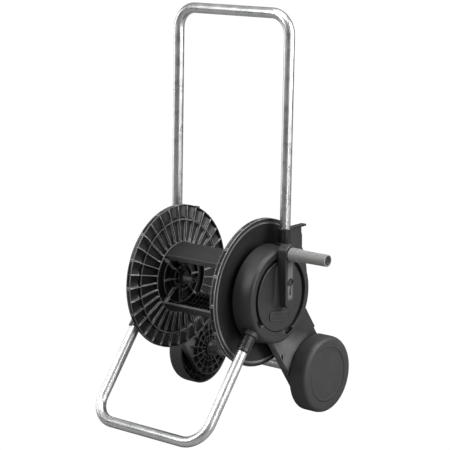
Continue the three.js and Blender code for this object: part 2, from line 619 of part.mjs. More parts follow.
// Screws through each flange's web into the staves.
const SCREW_RADIUS = 2;
const STAVE_SCREW_AT = CORE_RADIUS - 8;
const screwPost = (angle) => {
  const y = STAVE_SCREW_AT * Math.cos(angle);
  const z = STAVE_SCREW_AT * Math.sin(angle);
  return { y, z };
};
const STAVE_SCREW_ANGLES = { top: Math.PI / 2, bottom: -Math.PI / 2 };
const onSide = (body, side) => (side > 0 ? body : mirrored(body));
const screwHole = (angle, radius, fromX, toX) => {
  const { y, z } = screwPost(angle);
  return moved(ring(fromX, toX, radius, 0, 8), 0, y, z);
};
const posts = joined(
  [1, -1].map((side) => onSide(screwHole(Math.PI / 2, 6.5, staveEnd - 22, staveEnd), side)),
);
const postHoles = joined(
  [1, -1].map((side) => onSide(screwHole(Math.PI / 2, SCREW_RADIUS + GAP, staveEnd - 18, staveEnd + 1), side)),
);
const topStave = stave(TOP_STAVE).add(posts).subtract(postHoles);
const bottomStave = joined([stave(BOTTOM_STAVE), posts, staveLattice()]).subtract(postHoles);
place("core_stave_top", onDrum(topStave), "black_plastic");
place("core_stave_bottom", onDrum(bottomStave.rotate([180, 0, 0])), "black_plastic");

const flangeHoles = joined(
  Object.values(STAVE_SCREW_ANGLES).map((a) => screwHole(a, SCREW_RADIUS + GAP, FLANGE_WEB - 12, FLANGE_WEB + 10)),
);
const crankSideFlange = flange(JOURNAL_RADIUS - 8, JOURNAL_END - 32, 3 + GAP).subtract(flangeHoles);
const inletSideFlange = flange(PIPE_RADIUS + GAP, JOURNAL_END - 32, PIPE_RADIUS + GAP).subtract(flangeHoles);
place("flange_right", onDrum(crankSideFlange), "black_plastic");
place("flange_left", onDrum(mirrored(inletSideFlange)), "black_plastic");
for (const [end, angle] of Object.entries(STAVE_SCREW_ANGLES)) {
  const { y, z } = screwPost(angle);
  const head = FLANGE_WEB + SHELL + GAP;
  const screw = turned([[staveEnd - 16, 0], [staveEnd - 14, SCREW_RADIUS], [head, SCREW_RADIUS],
    [head, 4.2], [head + 2.2, 3.6], [head + 2.2, 0]], 8);
  placeBoth("drum_screw_" + end, moved(screw, 0, y, DRUM_Z + z), "steel");
}

const bush = ring(ARM_BACK, RECESS_FLOOR + 1, BUSH_SEAT, JOURNAL_RADIUS + GAP, 24);
placeBoth("drum_bush", onDrum(bush), "grey_plastic");

// ---- Water path: the pipe on the drum's axis and the inlet that swivels on its outer end ---------------

const point = (x, y, z) => new THREE.Vector3(x, y, z);
function hosePipe() {
  const outside = [
    ring(PIPE_OUT, PIPE_IN + PIPE_RADIUS, PIPE_RADIUS),
    ring(-FLANGE_RIB_IN + 8 + GAP, -FLANGE_RIB_IN + 12, JOURNAL_RADIUS - 8),
    rod(point(PIPE_IN, 0.4, 0), point(PIPE_IN, -NOZZLE_REACH, 0), NOZZLE_RADIUS, 0, 14),
  ];
  const bores = [
    ring(PIPE_OUT - 1, PIPE_IN + PIPE_BORE, PIPE_BORE, 0, 12),
    rod(point(PIPE_IN, 0.4, 0), point(PIPE_IN, -NOZZLE_REACH - 1, 0), NOZZLE_BORE, 0, 10),
  ];
  return joined(outside).subtract(joined(bores));
}
place("hose_pipe", onDrum(hosePipe()), "black_plastic");

const SWIVEL_IN = -(HOUSING_FRONT + 2);
const SWIVEL_OUT = -(WHEEL_OUT - 2);
const inletMiddle = (PIPE_OUT + SWIVEL_OUT) / 2 + 1;
function inletElbow() {
  const outside = [
    ring(SWIVEL_IN, SWIVEL_OUT, INLET_RADIUS),
    rod(point(inletMiddle + 3, 0, 0), point(inletMiddle + 3, 0, -INLET_DROP + 18), 9, 0, 12),
  ];
  const bores = [
    ring(SWIVEL_IN + 1, PIPE_OUT - 1, PIPE_RADIUS + GAP),
    ring(SWIVEL_IN + 1, SWIVEL_IN - 4, PIPE_RADIUS + 2.4 + GAP),
    ring(SWIVEL_IN, SWIVEL_OUT + SHELL, PIPE_BORE, 0, 12),
    rod(point(inletMiddle + 3, 0, 0), point(inletMiddle + 3, 0, -INLET_DROP), PIPE_BORE, 0, 12),
  ];
  return joined(outside).subtract(joined(bores));
}
place("inlet_elbow", onDrum(inletElbow()), "gloss_plastic");

// The tap connector's tail, screwed on the elbow's end: a shoulder, a neck and a flared tip.
const connector = turned([
  [INLET_DROP - 18 + GAP, PIPE_BORE],
  [INLET_DROP - 18 + GAP, 11],
  [INLET_DROP - 9, 11],
  [INLET_DROP - 8, 7.5],
  [INLET_DROP - 5, 7],
  [INLET_DROP - 3.5, 8.8],
  [INLET_DROP, 8.2],
  [INLET_DROP, PIPE_BORE],
], 12);
const hung = connector.rotate([0, 90, 0]);
place("inlet_connector", moved(hung, inletMiddle + 3, 0, DRUM_Z), "grey_plastic");
const seal = ring(SWIVEL_IN + 0.6 - 1, SWIVEL_IN - 4 + GAP, PIPE_RADIUS + 2.4, PIPE_RADIUS + GAP, 16);
place("inlet_seal", onDrum(seal), "rubber");

// A plain cover in the recess of the inlet side, where the crank side has its disc.
const cover = turned([
  [HOUSING_FRONT - 4, INLET_RADIUS + 2],
  [HOUSING_FRONT - 4, HOUSING_BOSS],
  [RECESS_FLOOR + GAP, HOUSING_BOSS],
  [RECESS_FLOOR + GAP, HOUSING_BOSS + SHELL],
  [HOUSING_FRONT - 4, HOUSING_BOSS + SHELL],
  [HOUSING_FRONT - 4, DISC_RADIUS - SHELL],
  [RECESS_FLOOR + GAP, DISC_RADIUS - SHELL],
  [RECESS_FLOOR + GAP, DISC_RADIUS],
  [HOUSING_FRONT - 3, DISC_RADIUS],
  [HOUSING_FRONT - 1, DISC_RADIUS - 2],
  [HOUSING_FRONT - 1, INLET_RADIUS + 2],
], HOUSING_SIDES);
place("hub_cover", onDrum(mirrored(cover)), "black_plastic");

// ---- Crank ----------------------------------------------------------------------------------

const DISC_BACK = RECESS_FLOOR + 2;
const DISC_FRONT = HOUSING_FRONT - 1;
const SCREW_HEAD = DISC_FRONT + GAP + 4;
const disc = turned([
  [JOURNAL_END + GAP, 3 + GAP],
  [JOURNAL_END + GAP, JOURNAL_RADIUS],
  [DISC_FRONT - 4, JOURNAL_RADIUS],
  [DISC_FRONT - 4, DISC_RADIUS - SHELL],
  [DISC_BACK, DISC_RADIUS - SHELL],
  [DISC_BACK, DISC_RADIUS],
  [DISC_FRONT - 1.5, DISC_RADIUS],
  [DISC_FRONT, DISC_RADIUS - 1.5],
  [DISC_FRONT, 3 + GAP],
], HOUSING_SIDES);
place("crank_disc", onDrum(disc), "black_plastic");

// The arm: a rounded bar whose upper end stands clear of the housing, hollowed for the screw's head.
const ARM_SEAT = DISC_FRONT + GAP;
const OVERHANG = HOUSING_FRONT + 2;
const KEY_ABOVE = 37; // the keyhole mark, above the drum's axis
function crankArm() {
  const half = CRANK_HALF_WIDTH;
  const outline = [
    ...arc(0, -CRANK_BELOW + half, half, Math.PI, 2 * Math.PI, 8),
    ...arc(0, CRANK_ABOVE - half, half, 0, Math.PI, 8),
  ];
  const bar = slab(outline, ARM_SEAT, CRANK_FRONT);
  const undercut = block([ARM_SEAT - 1, OVERHANG], [-half - 1, half + 1], [DISC_RADIUS - 8, CRANK_ABOVE + 1]);
  const screwRoom = ring(ARM_SEAT - 1, SCREW_HEAD + 1, 8, 0, 12);
  const spindleHole = moved(ring(OVERHANG - 5, CRANK_FRONT + 1, SPINDLE_RADIUS + GAP), 0, 0, CRANK_RADIUS);
  const nutRoom = moved(ring(OVERHANG - 5, OVERHANG + 6, 9.5, 0, 6), 0, 0, CRANK_RADIUS);
  const keyRing = ring(CRANK_FRONT - 1.5, CRANK_FRONT + 1, 10, 7.5, 12);
  const keySlot = block([CRANK_FRONT - 1.5, CRANK_FRONT + 1], [-3.5, 3.5], [-30, -6]);
  const key = moved(keyRing.add(keySlot), 0, 0, KEY_ABOVE);
  return bar.subtract(joined([undercut, screwRoom, spindleHole, nutRoom, key]));
}
place("crank_arm", onDrum(crankArm()), "black_plastic");

const crankScrew = turned([
  [JOURNAL_END - 26, 0],
  [JOURNAL_END - 24, 3],
  [DISC_FRONT + GAP, 3],
  [DISC_FRONT + GAP, 6.5],
  [SCREW_HEAD, 6.5],
  [SCREW_HEAD, 0],
], 12);
place("crank_screw", onDrum(crankScrew), "steel");

// A blank raised pad on the disc.
const PAD_THICK = 2;
const padOutline = [
  ...arc(-30, -42, 12, deg(90), deg(270), 6),
  ...arc(20, -50, 12, deg(-90), deg(90), 6),
];
place("disc_pad", onDrum(slab(padOutline, DISC_FRONT + GAP, DISC_FRONT + GAP + PAD_THICK)), "black_plastic");

// ---- Grip --------------------------------------------------------------------------------------

const onGrip = (body) => moved(body, 0, 0, DRUM_Z + CRANK_RADIUS);
const GRIP_START = CRANK_FRONT + 3;
const SPINDLE_END = GRIP_END - 14;
const spindle = turned([
  [OVERHANG + GAP + 0.5, 0],
  [OVERHANG + GAP + 0.5, 8],
  [OVERHANG + 5.5, 8],
  [OVERHANG + 5.5, SPINDLE_RADIUS],
  [SPINDLE_END, SPINDLE_RADIUS],
  [SPINDLE_END, SPINDLE_RADIUS + 3],
  [SPINDLE_END + 3, SPINDLE_RADIUS + 3],
  [SPINDLE_END + 3, 0],
], 12);
place("grip_spindle", onGrip(spindle), "steel");
const washer = ring(CRANK_FRONT + GAP, GRIP_START - GAP, SPINDLE_RADIUS + 5, SPINDLE_RADIUS + GAP, 12);
place("grip_washer", onGrip(washer), "steel");

const grip = turned([
  [GRIP_START, SPINDLE_RADIUS + GAP],
  [GRIP_START, GRIP_RADIUS + 0.7],
  [GRIP_START + 1, GRIP_RADIUS + 1.7],
  [GRIP_START + GRIP_COLLAR - 1, GRIP_RADIUS + 1.7],
  [GRIP_START + GRIP_COLLAR, GRIP_RADIUS],
  [GRIP_END - 1.5, GRIP_RADIUS],
  [GRIP_END, GRIP_RADIUS - 1.5],
  [GRIP_END, GRIP_RADIUS - 3.5],
  [SPINDLE_END - GAP, GRIP_RADIUS - 3.5],
  [SPINDLE_END - GAP, SPINDLE_RADIUS + GAP],
], 20);
place("crank_grip", onGrip(grip), "grey_plastic");
const capRadius = GRIP_RADIUS - 3.5 - GAP;
place("grip_end_cap", onGrip(ring(GRIP_END - 6, GRIP_END - 1.5, capRadius)), "black_plastic");

// ---- Clip for the spray nozzle, on the outside of the left socket ------------------------------

const CLIP_Z = HANDLE_EXIT - 6.5;
const clipX = -(HALF_WIDTH + SLEEVE_RADIUS + GAP);
function nozzleClip() {
  const ringPart = ring(-7, 7, 15, 11.5).rotate([0, 90, 0]);
  const mouth = block([-30, -9], [-8, 8], [-10, 10]);
  const tab = block([10, 17], [-6, 6], [-7, 7]);
  return ringPart.subtract(mouth).add(tab);
}
place("nozzle_clip", moved(nozzleClip(), clipX - 17, handleY(CLIP_Z), CLIP_Z - 7), "gloss_plastic");

// ---- Screws that pin the tubes in their collars -------------------------------------------------

// A pin's head on its collar: it faces the way that it is turned, from a place on the tube's axis.
function pin(place, facing) {
  const head = turned([
    [SLEEVE_RADIUS + GAP, 0],
    [SLEEVE_RADIUS + GAP, 3.4],
    [SLEEVE_RADIUS + 1.6, 2.8],
    [SLEEVE_RADIUS + 2, 0],
  ], 12);
  const turn = new THREE.Quaternion().setFromUnitVectors(AXIS_X, facing);
  return head.transform(new THREE.Matrix4().compose(place, turn, new THREE.Vector3(1, 1, 1)).elements);
}
const inwards = new THREE.Vector3(-1, 0, 0);
placeBoth("handle_pin", pin(handleAxis(HANDLE_EXIT - 28), inwards), "steel");
const underLeg = new THREE.Vector3(0, Math.cos(STAND_LEAN), -Math.sin(STAND_LEAN));
placeBoth("foot_pin", pin(standAxis(sleeveLow + 12), underLeg), "steel");

// ---- Origin ------------------------------------------------------------------------------------

const middleX = (GRIP_END - WHEEL_OUT) / 2;
const middleY = (AXLE_Y + WHEEL_RADIUS - STAND_REACH - TUBE_RADIUS) / 2;
cart.position.set(-middleX, -middleY, 0);
const part = new THREE.Group();
part.add(cart);
export default part;
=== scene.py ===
"""A garden hose reel cart: two bent tubes, two side frames, a flanged drum with a crank, two wheels."""

import bmesh
import bpy
import numpy as np
from mathutils import Matrix, Vector
from mathutils.geometry import tessellate_polygon


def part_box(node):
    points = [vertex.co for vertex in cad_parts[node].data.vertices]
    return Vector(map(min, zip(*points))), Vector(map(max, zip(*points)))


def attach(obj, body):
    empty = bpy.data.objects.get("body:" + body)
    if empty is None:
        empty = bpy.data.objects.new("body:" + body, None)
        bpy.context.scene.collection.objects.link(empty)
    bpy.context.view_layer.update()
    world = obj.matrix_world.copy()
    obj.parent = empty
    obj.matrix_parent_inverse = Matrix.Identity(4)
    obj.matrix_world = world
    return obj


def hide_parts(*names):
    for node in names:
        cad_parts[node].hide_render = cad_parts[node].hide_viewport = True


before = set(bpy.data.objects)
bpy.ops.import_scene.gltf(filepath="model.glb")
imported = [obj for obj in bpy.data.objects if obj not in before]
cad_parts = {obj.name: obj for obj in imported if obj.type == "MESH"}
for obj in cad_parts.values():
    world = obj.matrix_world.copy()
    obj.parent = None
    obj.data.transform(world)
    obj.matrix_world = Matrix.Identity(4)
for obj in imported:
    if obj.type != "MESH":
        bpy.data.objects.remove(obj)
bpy.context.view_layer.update()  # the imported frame: its bodies, nodes, joints and record

# ---- Studio: camera, floor and lights -------------------------------------------------------------
# A white studio: a pale floor and surround, softboxes on the left, on the right and overhead, and a
# narrow strip nearby that draws a bright line along each tube.

tube_low, tube_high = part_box("axle_tube")
disc_low, disc_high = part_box("crank_disc")
cart_foot = np.array([(tube_low.x + tube_high.x) / 2, (disc_low.y + disc_high.y) / 2, 0])  # under the drum

camera_azimuth = np.radians(39.61)
camera_elevation = np.radians(11.88)
camera_distance = 4.1135
aim_right, aim_up = 0.0174, 0.4463  # the point aimed at, from the cart's foot
camera_right = np.array([np.cos(camera_azimuth), np.sin(camera_azimuth), 0])
camera_back = np.array([
    np.sin(camera_azimuth) * np.cos(camera_elevation),
    -np.cos(camera_azimuth) * np.cos(camera_elevation),
    np.sin(camera_elevation),
])
camera_up = np.cross(camera_back, camera_right)
camera_place = cart_foot + aim_right * camera_right + aim_up * camera_up + camera_distance * camera_back

camera = bpy.data.objects.new("camera", bpy.data.cameras.new("camera"))
camera.data.lens = 136.155
camera.data.sensor_width = 36
camera.matrix_world = Matrix.Translation(Vector(camera_place)) @ Matrix(
    np.stack([camera_right, camera_up, camera_back], 1).tolist()
).to_4x4()
bpy.context.scene.collection.objects.link(camera)
bpy.context.scene.camera = camera
bpy.context.scene.view_settings.view_transform = "Standard"
seen_white = 1.02  # the level at which the floor and the surround are seen


class Wire:
    """A shader socket that can be used in arithmetic: each operation adds one Math node."""

    def __init__(self, finish, socket):
        self.finish = finish
        self.socket = socket

    def math(self, operation, first, second=0.0):
        return self.finish.node("ShaderNodeMath", {"operation": operation}, {0: first, 1: second})

    def __add__(self, other):
        return self.math("ADD", self, other)

    def __sub__(self, other):
        return self.math("SUBTRACT", self, other)

    def __rsub__(self, other):
        return self.math("SUBTRACT", other, self)

    def __mul__(self, other):
        return self.math("MULTIPLY", self, other)

    __radd__ = __add__
    __rmul__ = __mul__


class Finish:
    """A node tree under construction. node() adds one node: its settings first, then its sockets."""

    def __init__(self, tree):
        self.tree = tree
        tree.nodes.clear()

    def node(self, kind, settings, sockets, output=0):
        made = self.tree.nodes.new(kind)
        for name, value in settings.items():
            setattr(made, name, value)
        for name, value in sockets.items():
            if isinstance(value, Wire):
                self.tree.links.new(value.socket, made.inputs[name])
            else:
                made.inputs[name].default_value = value
        return Wire(self, made.outputs[output]) if made.outputs else made

    def between(self, value, low, high, from_low=0.0, from_high=1.0):
        """A value carried from one range to another, held at the ends."""
        sockets = {"Value": value, "From Min": from_low, "From Max": from_high, "To Min": low, "To Max": high}
        return self.node("ShaderNodeMapRange", {}, sockets)

    def mixed(self, share, first, second):
        """A colour between two colours."""
        sockets = {"Factor": share, 6: first, 7: second}
        return self.node("ShaderNodeMix", {"data_type": "RGBA"}, sockets, output=2)

    def place(self):
        """Where on the object a point is, in metres."""
        return self.node("ShaderNodeTexCoord", {}, {}, output=3)

    def edge(self):
        """How sharply the surface turns outwards at a point, in radians."""
        return self.node("ShaderNodeAttribute", {"attribute_name": "edge"}, {}, output=2)

    def noise(self, vector, scale, detail=2.0):
        """Even clouds, about one for each 1 / scale of the vector."""
        return self.node("ShaderNodeTexNoise", {}, {"Vector": vector, "Scale": scale, "Detail": detail})

    def stretched(self, vector, factors):
        """A vector with each part multiplied, so that clouds made with it grow along the small ones."""
        return self.node("ShaderNodeVectorMath", {"operation": "MULTIPLY"}, {0: vector, 1: factors})

    def surface(self, colour, roughness, height, strength, depth, metallic=0.0):
        """The last nodes of a material: a bump as deep as depth, in metres, under its colour."""
        bump = self.node("ShaderNodeBump", {}, {"Height": height, "Strength": strength, "Distance": depth})
        sockets = {"Base Color": colour, "Metallic": metallic, "Roughness": roughness, "Normal": bump}
        shader = self.node("ShaderNodeBsdfPrincipled", {}, sockets)
        self.node("ShaderNodeOutputMaterial", {}, {"Surface": shader})


def new_material(name):
    """An empty material, and the finish that is put in it."""
    material = bpy.data.materials.new(name)
    material.use_nodes = True
    return material, Finish(material.node_tree)


def shade(level, blue=0.0):
    """A grey with a little more or less blue."""
    return level, level, level + blue, 1


def studio_floor():
    """A flat matt sheet on the ground, out to the horizon, that is seen as plain white."""
    half = 40.0
    ground = bpy.data.meshes.new("floor")
    corners = [(-half, -half, 0), (half, -half, 0), (half, half, 0), (-half, half, 0)]
    ground.from_pydata(corners, [], [(0, 1, 2, 3)])
    material, finish = new_material("studio_floor")
    tone = finish.mixed(finish.noise(finish.place(), 0.7), shade(0.24), shade(0.28))
    matt = finish.node("ShaderNodeBsdfPrincipled", {}, {"Base Color": tone, "Roughness": 0.9})
    white = finish.node("ShaderNodeEmission", {}, {"Color": shade(1), "Strength": seen_white})
    seen = finish.node("ShaderNodeLightPath", {}, {}, output=0)
    shader = finish.node("ShaderNodeMixShader", {}, {0: seen, 1: matt, 2: white})
    finish.node("ShaderNodeOutputMaterial", {}, {"Surface": shader})
    ground.materials.append(material)
    floor = bpy.data.objects.new("floor", ground)
    bpy.context.scene.collection.objects.link(floor)


def softbox(name, turn, rise, distance, width, height, power):
    """A rectangular light aimed at the drum; turn is counted to the right of the camera, in degrees."""
    azimuth = camera_azimuth + np.radians(turn)
    lift = np.radians(rise)
    away = Vector((np.sin(azimuth) * np.cos(lift), -np.cos(azimuth) * np.cos(lift), np.sin(lift)))
    lamp = bpy.data.lights.new(name, "AREA")
    lamp.shape = "RECTANGLE"
    lamp.size, lamp.size_y = width, height
    lamp.energy = power
    held = bpy.data.objects.new(name, lamp)
    target = Vector(cart_foot) + Vector((0, 0, 0.35))
    facing = away.to_track_quat("Z", "Y").to_matrix().to_4x4()
    held.matrix_world = Matrix.Translation(target + away * distance) @ facing
    bpy.context.scene.collection.objects.link(held)


def pale_surround():
    """The world: seen as plain white, but its light is dim and falls off towards the horizon."""
    world = bpy.data.worlds.new("studio")
    world.use_nodes = True
    bpy.context.scene.world = world
    finish = Finish(world.node_tree)
    direction = finish.node("ShaderNodeTexCoord", {}, {}, output=0)
    height = finish.node("ShaderNodeSeparateXYZ", {}, {"Vector": direction}, output=2)
    seen = finish.node("ShaderNodeLightPath", {}, {}, output=0)
    level = finish.between(height, 0.1, 0.5, from_high=0.9) * (1 - seen) + seen * seen_white
    background = finish.node("ShaderNodeBackground", {}, {"Color": shade(1), "Strength": level})
    finish.node("ShaderNodeOutputWorld", {}, {"Surface": background})


studio_floor()
pale_surround()
# Each light: turn and rise in degrees, its distance, width and height in metres, its power in watts.
softbox("left_softbox", -66, 36, 2.8, 0.6, 1.6, 34)
softbox("left_wall", -118, 6, 3.0, 1.6, 2.2, 26)
softbox("near_strip", 35, 10, 1.9, 0.3, 1.7, 7)
softbox("right_softbox", 72, 26, 2.8, 1.6, 2.2, 80)
softbox("top_softbox", 10, 80, 3.0, 2.0, 2.0, 60)

# ---- Handle and stand -----------------------------------------------------------------------------
# Two U-shaped bows of 25 mm aluminium tube, drawn, bent cold and satin anodised. The handle stands in
# the side frames' sockets; the stand's bar rests on the ground, and its legs are sleeved at the top.

MM = 0.001
SIDES = {"right": 1, "left": -1}


def span(node):
    """A CAD node's lowest and highest corners, in mm from the mid-plane, the drum's axis and the ground."""
    low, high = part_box(node)
    return (np.array(low) - cart_foot) / MM, (np.array(high) - cart_foot) / MM


def extent(node):
    """A CAD node's length along each axis, in mm."""
    low, high = span(node)
    return high - low


def centre_of(node):
    """The middle of a CAD node's box, in mm."""
    low, high = span(node)
    return (low + high) / 2


def grid_faces(rows, columns, rows_joined, columns_joined):
    """Corner numbers of the four-sided faces between neighbouring rows and columns of points."""
    row = np.arange(rows if rows_joined else rows - 1)[:, None]
    column = np.arange(columns if columns_joined else columns - 1)[None]
    next_row, next_column = (row + 1) % rows, (column + 1) % columns
    corners = [
        row * columns + column,
        row * columns + next_column,
        next_row * columns + next_column,
        next_row * columns + column,
    ]
    return np.stack(np.broadcast_arrays(*corners), -1).reshape(-1, 4)


def skin(points, rows_joined=False, columns_joined=True, capped=False, grain=None):
    """Points (..., rows, columns, 3) as a surface: one grid of faces for each leading index. Capped
    closes the first and last rows with one face each; grain is a vector for each point."""
    points = np.asarray(points, float)
    rows, columns = points.shape[-3:-1]
    copies = points.reshape(-1, rows * columns, 3)
    starts = np.arange(len(copies))[:, None, None] * rows * columns
    faces = [(grid_faces(rows, columns, rows_joined, columns_joined) + starts).reshape(-1, 4)]
    if capped:
        ends = np.stack([np.arange(columns), np.arange(columns) + (rows - 1) * columns])
        faces.append((ends + starts).reshape(-1, columns))
    grain = np.zeros_like(points) if grain is None else np.broadcast_to(grain, points.shape)
    return copies.reshape(-1, 3), faces, grain.reshape(-1, 3)


def gathered(surfaces):
    """Several surfaces as one: their points in turn, with the corner numbers raised to match."""
    starts = np.cumsum([0] + [len(points) for points, _, _ in surfaces])
    faces = [block + start for start, (_, blocks, _) in zip(starts, surfaces) for block in blocks]
    points = np.concatenate([points for points, _, _ in surfaces])
    return points, faces, np.concatenate([grain for _, _, grain in surfaces])


def mark_edges(mesh):
    """Writes the attribute "edge": at each vertex, the sharpest outward turn of its edges, in radians."""
    faces = len(mesh.polygons)
    normals = np.empty(faces * 3)
    centres = np.empty(faces * 3)
    sizes = np.empty(faces, int)
    edge_of_loop = np.empty(len(mesh.loops), int)
    ends = np.empty(len(mesh.edges) * 2, int)
    mesh.polygons.foreach_get("normal", normals)
    mesh.polygons.foreach_get("center", centres)
    mesh.polygons.foreach_get("loop_total", sizes)
    mesh.loops.foreach_get("edge_index", edge_of_loop)
    mesh.edges.foreach_get("vertices", ends)
    normals, centres, ends = normals.reshape(-1, 3), centres.reshape(-1, 3), ends.reshape(-1, 2)
    order = np.argsort(edge_of_loop, kind="stable")
    edge = edge_of_loop[order]
    face = np.repeat(np.arange(faces), sizes)[order]
    shared = np.flatnonzero(edge[1:] == edge[:-1])
    one, other = face[shared], face[shared + 1]
    turn = np.arccos(np.clip((normals[one] * normals[other]).sum(1), -1, 1))
    outward = ((normals[one] - normals[other]) * (centres[one] - centres[other])).sum(1) > 0
    sharpest = np.zeros(len(mesh.vertices))
    for end in (0, 1):
        np.maximum.at(sharpest, ends[edge[shared], end], turn * outward)
    mesh.attributes.new("edge", "FLOAT", "POINT").data.foreach_set("value", sharpest)


def make_piece(name, surfaces, material, slot, body, *stands_for):
    """Puts surfaces in mm into one mesh, merges their seams and poles, turns the faces outwards, gives the
    piece its material, parents it to the empty of the body it rides on, and hides the CAD nodes it stands
    for."""
    points, faces, grain = gathered(surfaces)
    seam, crease = 2e-6, np.radians(32)  # points this near become one; edges this sharp stay sharp
    sizes = np.concatenate([np.full(len(block), block.shape[1]) for block in faces])
    loops = np.concatenate([block.ravel() for block in faces])
    mesh = bpy.data.meshes.new(name)
    mesh.vertices.add(len(points))
    mesh.vertices.foreach_set("co", (points * MM + cart_foot).ravel())
    mesh.loops.add(len(loops))
    mesh.loops.foreach_set("vertex_index", loops)
    mesh.polygons.add(len(sizes))
    mesh.polygons.foreach_set("loop_start", np.concatenate([[0], np.cumsum(sizes)[:-1]]))
    mesh.attributes.new("grain", "FLOAT_VECTOR", "POINT").data.foreach_set("vector", grain.ravel())
    mesh.update(calc_edges=True)
    made = bmesh.new()
    made.from_mesh(mesh)
    bmesh.ops.remove_doubles(made, verts=made.verts, dist=seam)
    bmesh.ops.delete(made, geom=[e for e in made.edges if not e.link_faces], context="EDGES")
    bmesh.ops.recalc_face_normals(made, faces=made.faces)
    made.to_mesh(mesh)
    made.free()
    mark_edges(mesh)
    mesh.shade_smooth()
    mesh.set_sharp_from_angle(angle=crease)
    mesh.materials.append(material)
    piece = bpy.data.objects.new(name, mesh)
    bpy.context.scene.collection.objects.link(piece)
    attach(piece, body)
    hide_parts(*stands_for)


def swept(centres, tangents, normal, radii, bores, steps=40):
    """A pipe along a flat path: centre + radius (cos a normal + sin a tangent x normal), out along the
    outside and back along the bore. Its grain holds (cos a, sin a, distance along the path)."""
    angle = np.linspace(0, 2 * np.pi, steps, endpoint=False)[:, None]
    across = np.cross(tangents, normal)[:, None]
    round_it = np.cos(angle) * normal + np.sin(angle) * across
    outside = centres[:, None] + np.reshape(radii, (-1, 1, 1)) * round_it
    inside = centres[:, None] + np.reshape(bores, (-1, 1, 1)) * round_it
    along = np.concatenate([[0], np.cumsum(np.linalg.norm(np.diff(centres, axis=0), axis=1))])
    parts = np.broadcast_arrays(np.cos(angle)[:, 0], np.sin(angle)[:, 0], along[:, None])
    grain = np.stack(parts, -1)
    return skin(
        np.concatenate([outside, inside[::-1]]),
        rows_joined=True,
        grain=np.concatenate([grain, grain[::-1]]),
    )


def satin_aluminium():
    """Fine lengthwise lines of the drawing die, and faint blotches in the anodising."""
    material, finish = new_material("satin_aluminium")
    grain = finish.node("ShaderNodeAttribute", {"attribute_name": "grain"}, {}, output=1)
    lines = finish.noise(finish.stretched(grain, (1, 1, 0.004)), 26, 6)
    blotch = finish.noise(finish.place(), 38, 3)
    tone = finish.between(lines * 0.7 + blotch * 0.3, 0, 1, from_low=0.3, from_high=0.7)
    colour = finish.mixed(tone, (0.52, 0.525, 0.535, 1), (0.78, 0.785, 0.79, 1))
    roughness = finish.between(blotch + lines * 0.5, 0.24, 0.38, from_low=0.5)
    finish.surface(colour, roughness, lines, 0.22, 0.0004, metallic=1)
    return material


def bow(half, bend, leg, rise, foot, radius, wall):
    """A U of tube: legs at x = -half and half, quarter circles of radius bend, and a bar through foot.
    rise is the direction of the legs from the bar."""
    angle = np.linspace(0, np.pi / 2, 26)
    left = np.stack([-half + bend * (1 - np.cos(angle)), bend * (1 - np.sin(angle))], -1)
    left_ahead = np.stack([np.sin(angle), -np.cos(angle)], -1)
    path = np.concatenate([[(-half, leg)], left, left[::-1] * (-1, 1), [(half, leg)]])
    ahead = np.concatenate([[(0, -1)], left_ahead, left_ahead[::-1] * (1, -1), [(0, 1)]])
    sideways = np.array([1.0, 0, 0])
    centres = foot + path[:, :1] * sideways + path[:, 1:] * rise
    tangents = ahead[:, :1] * sideways + ahead[:, 1:] * rise
    return swept(centres, tangents, np.cross(sideways, rise), radius, radius - wall)


aluminium = satin_aluminium()
tube_wall = 1.5
handle_low, handle_high = span("handle_tube")
stand_low, stand_high = span("foot_tube")
tube_radius = extent("axle_tube")[2] / 2
half_width = (handle_high - handle_low)[0] / 2 - tube_radius
handle_bend, stand_bend = 50.0, 58.0
handle_lean, stand_lean = np.radians(1.48), np.radians(38.2)
handle_bar = np.array([0, handle_high[1] - tube_radius, handle_high[2] - tube_radius])
stand_bar = np.array([0, stand_low[1] + tube_radius, tube_radius])
handle_down = np.array([0, -np.sin(handle_lean), -np.cos(handle_lean)])
stand_up = np.array([0, np.sin(stand_lean), np.cos(stand_lean)])
handle_leg = (handle_bar[2] - handle_low[2]) / np.cos(handle_lean)
stand_leg = (stand_high[2] - tube_radius) / np.cos(stand_lean) - tube_radius * np.tan(stand_lean)
make_piece(
    "handle_bow",
    [bow(half_width, handle_bend, handle_leg, handle_down, handle_bar, tube_radius, tube_wall)],
    aluminium, "tube_aluminium", "frame", "handle_tube",
)
make_piece(
    "stand_bow",
    [bow(half_width, stand_bend, stand_leg, stand_up, stand_bar, tube_radius, tube_wall)],
    aluminium, "tube_aluminium", "frame", "foot_tube",
)

# ---- Sockets and sleeves --------------------------------------------------------------------------
# Short collars moulded in glossy black nylon, pushed over the ends of both tubes and held by one
# screw each. The handle's legs can be pulled out of their sockets for storage.


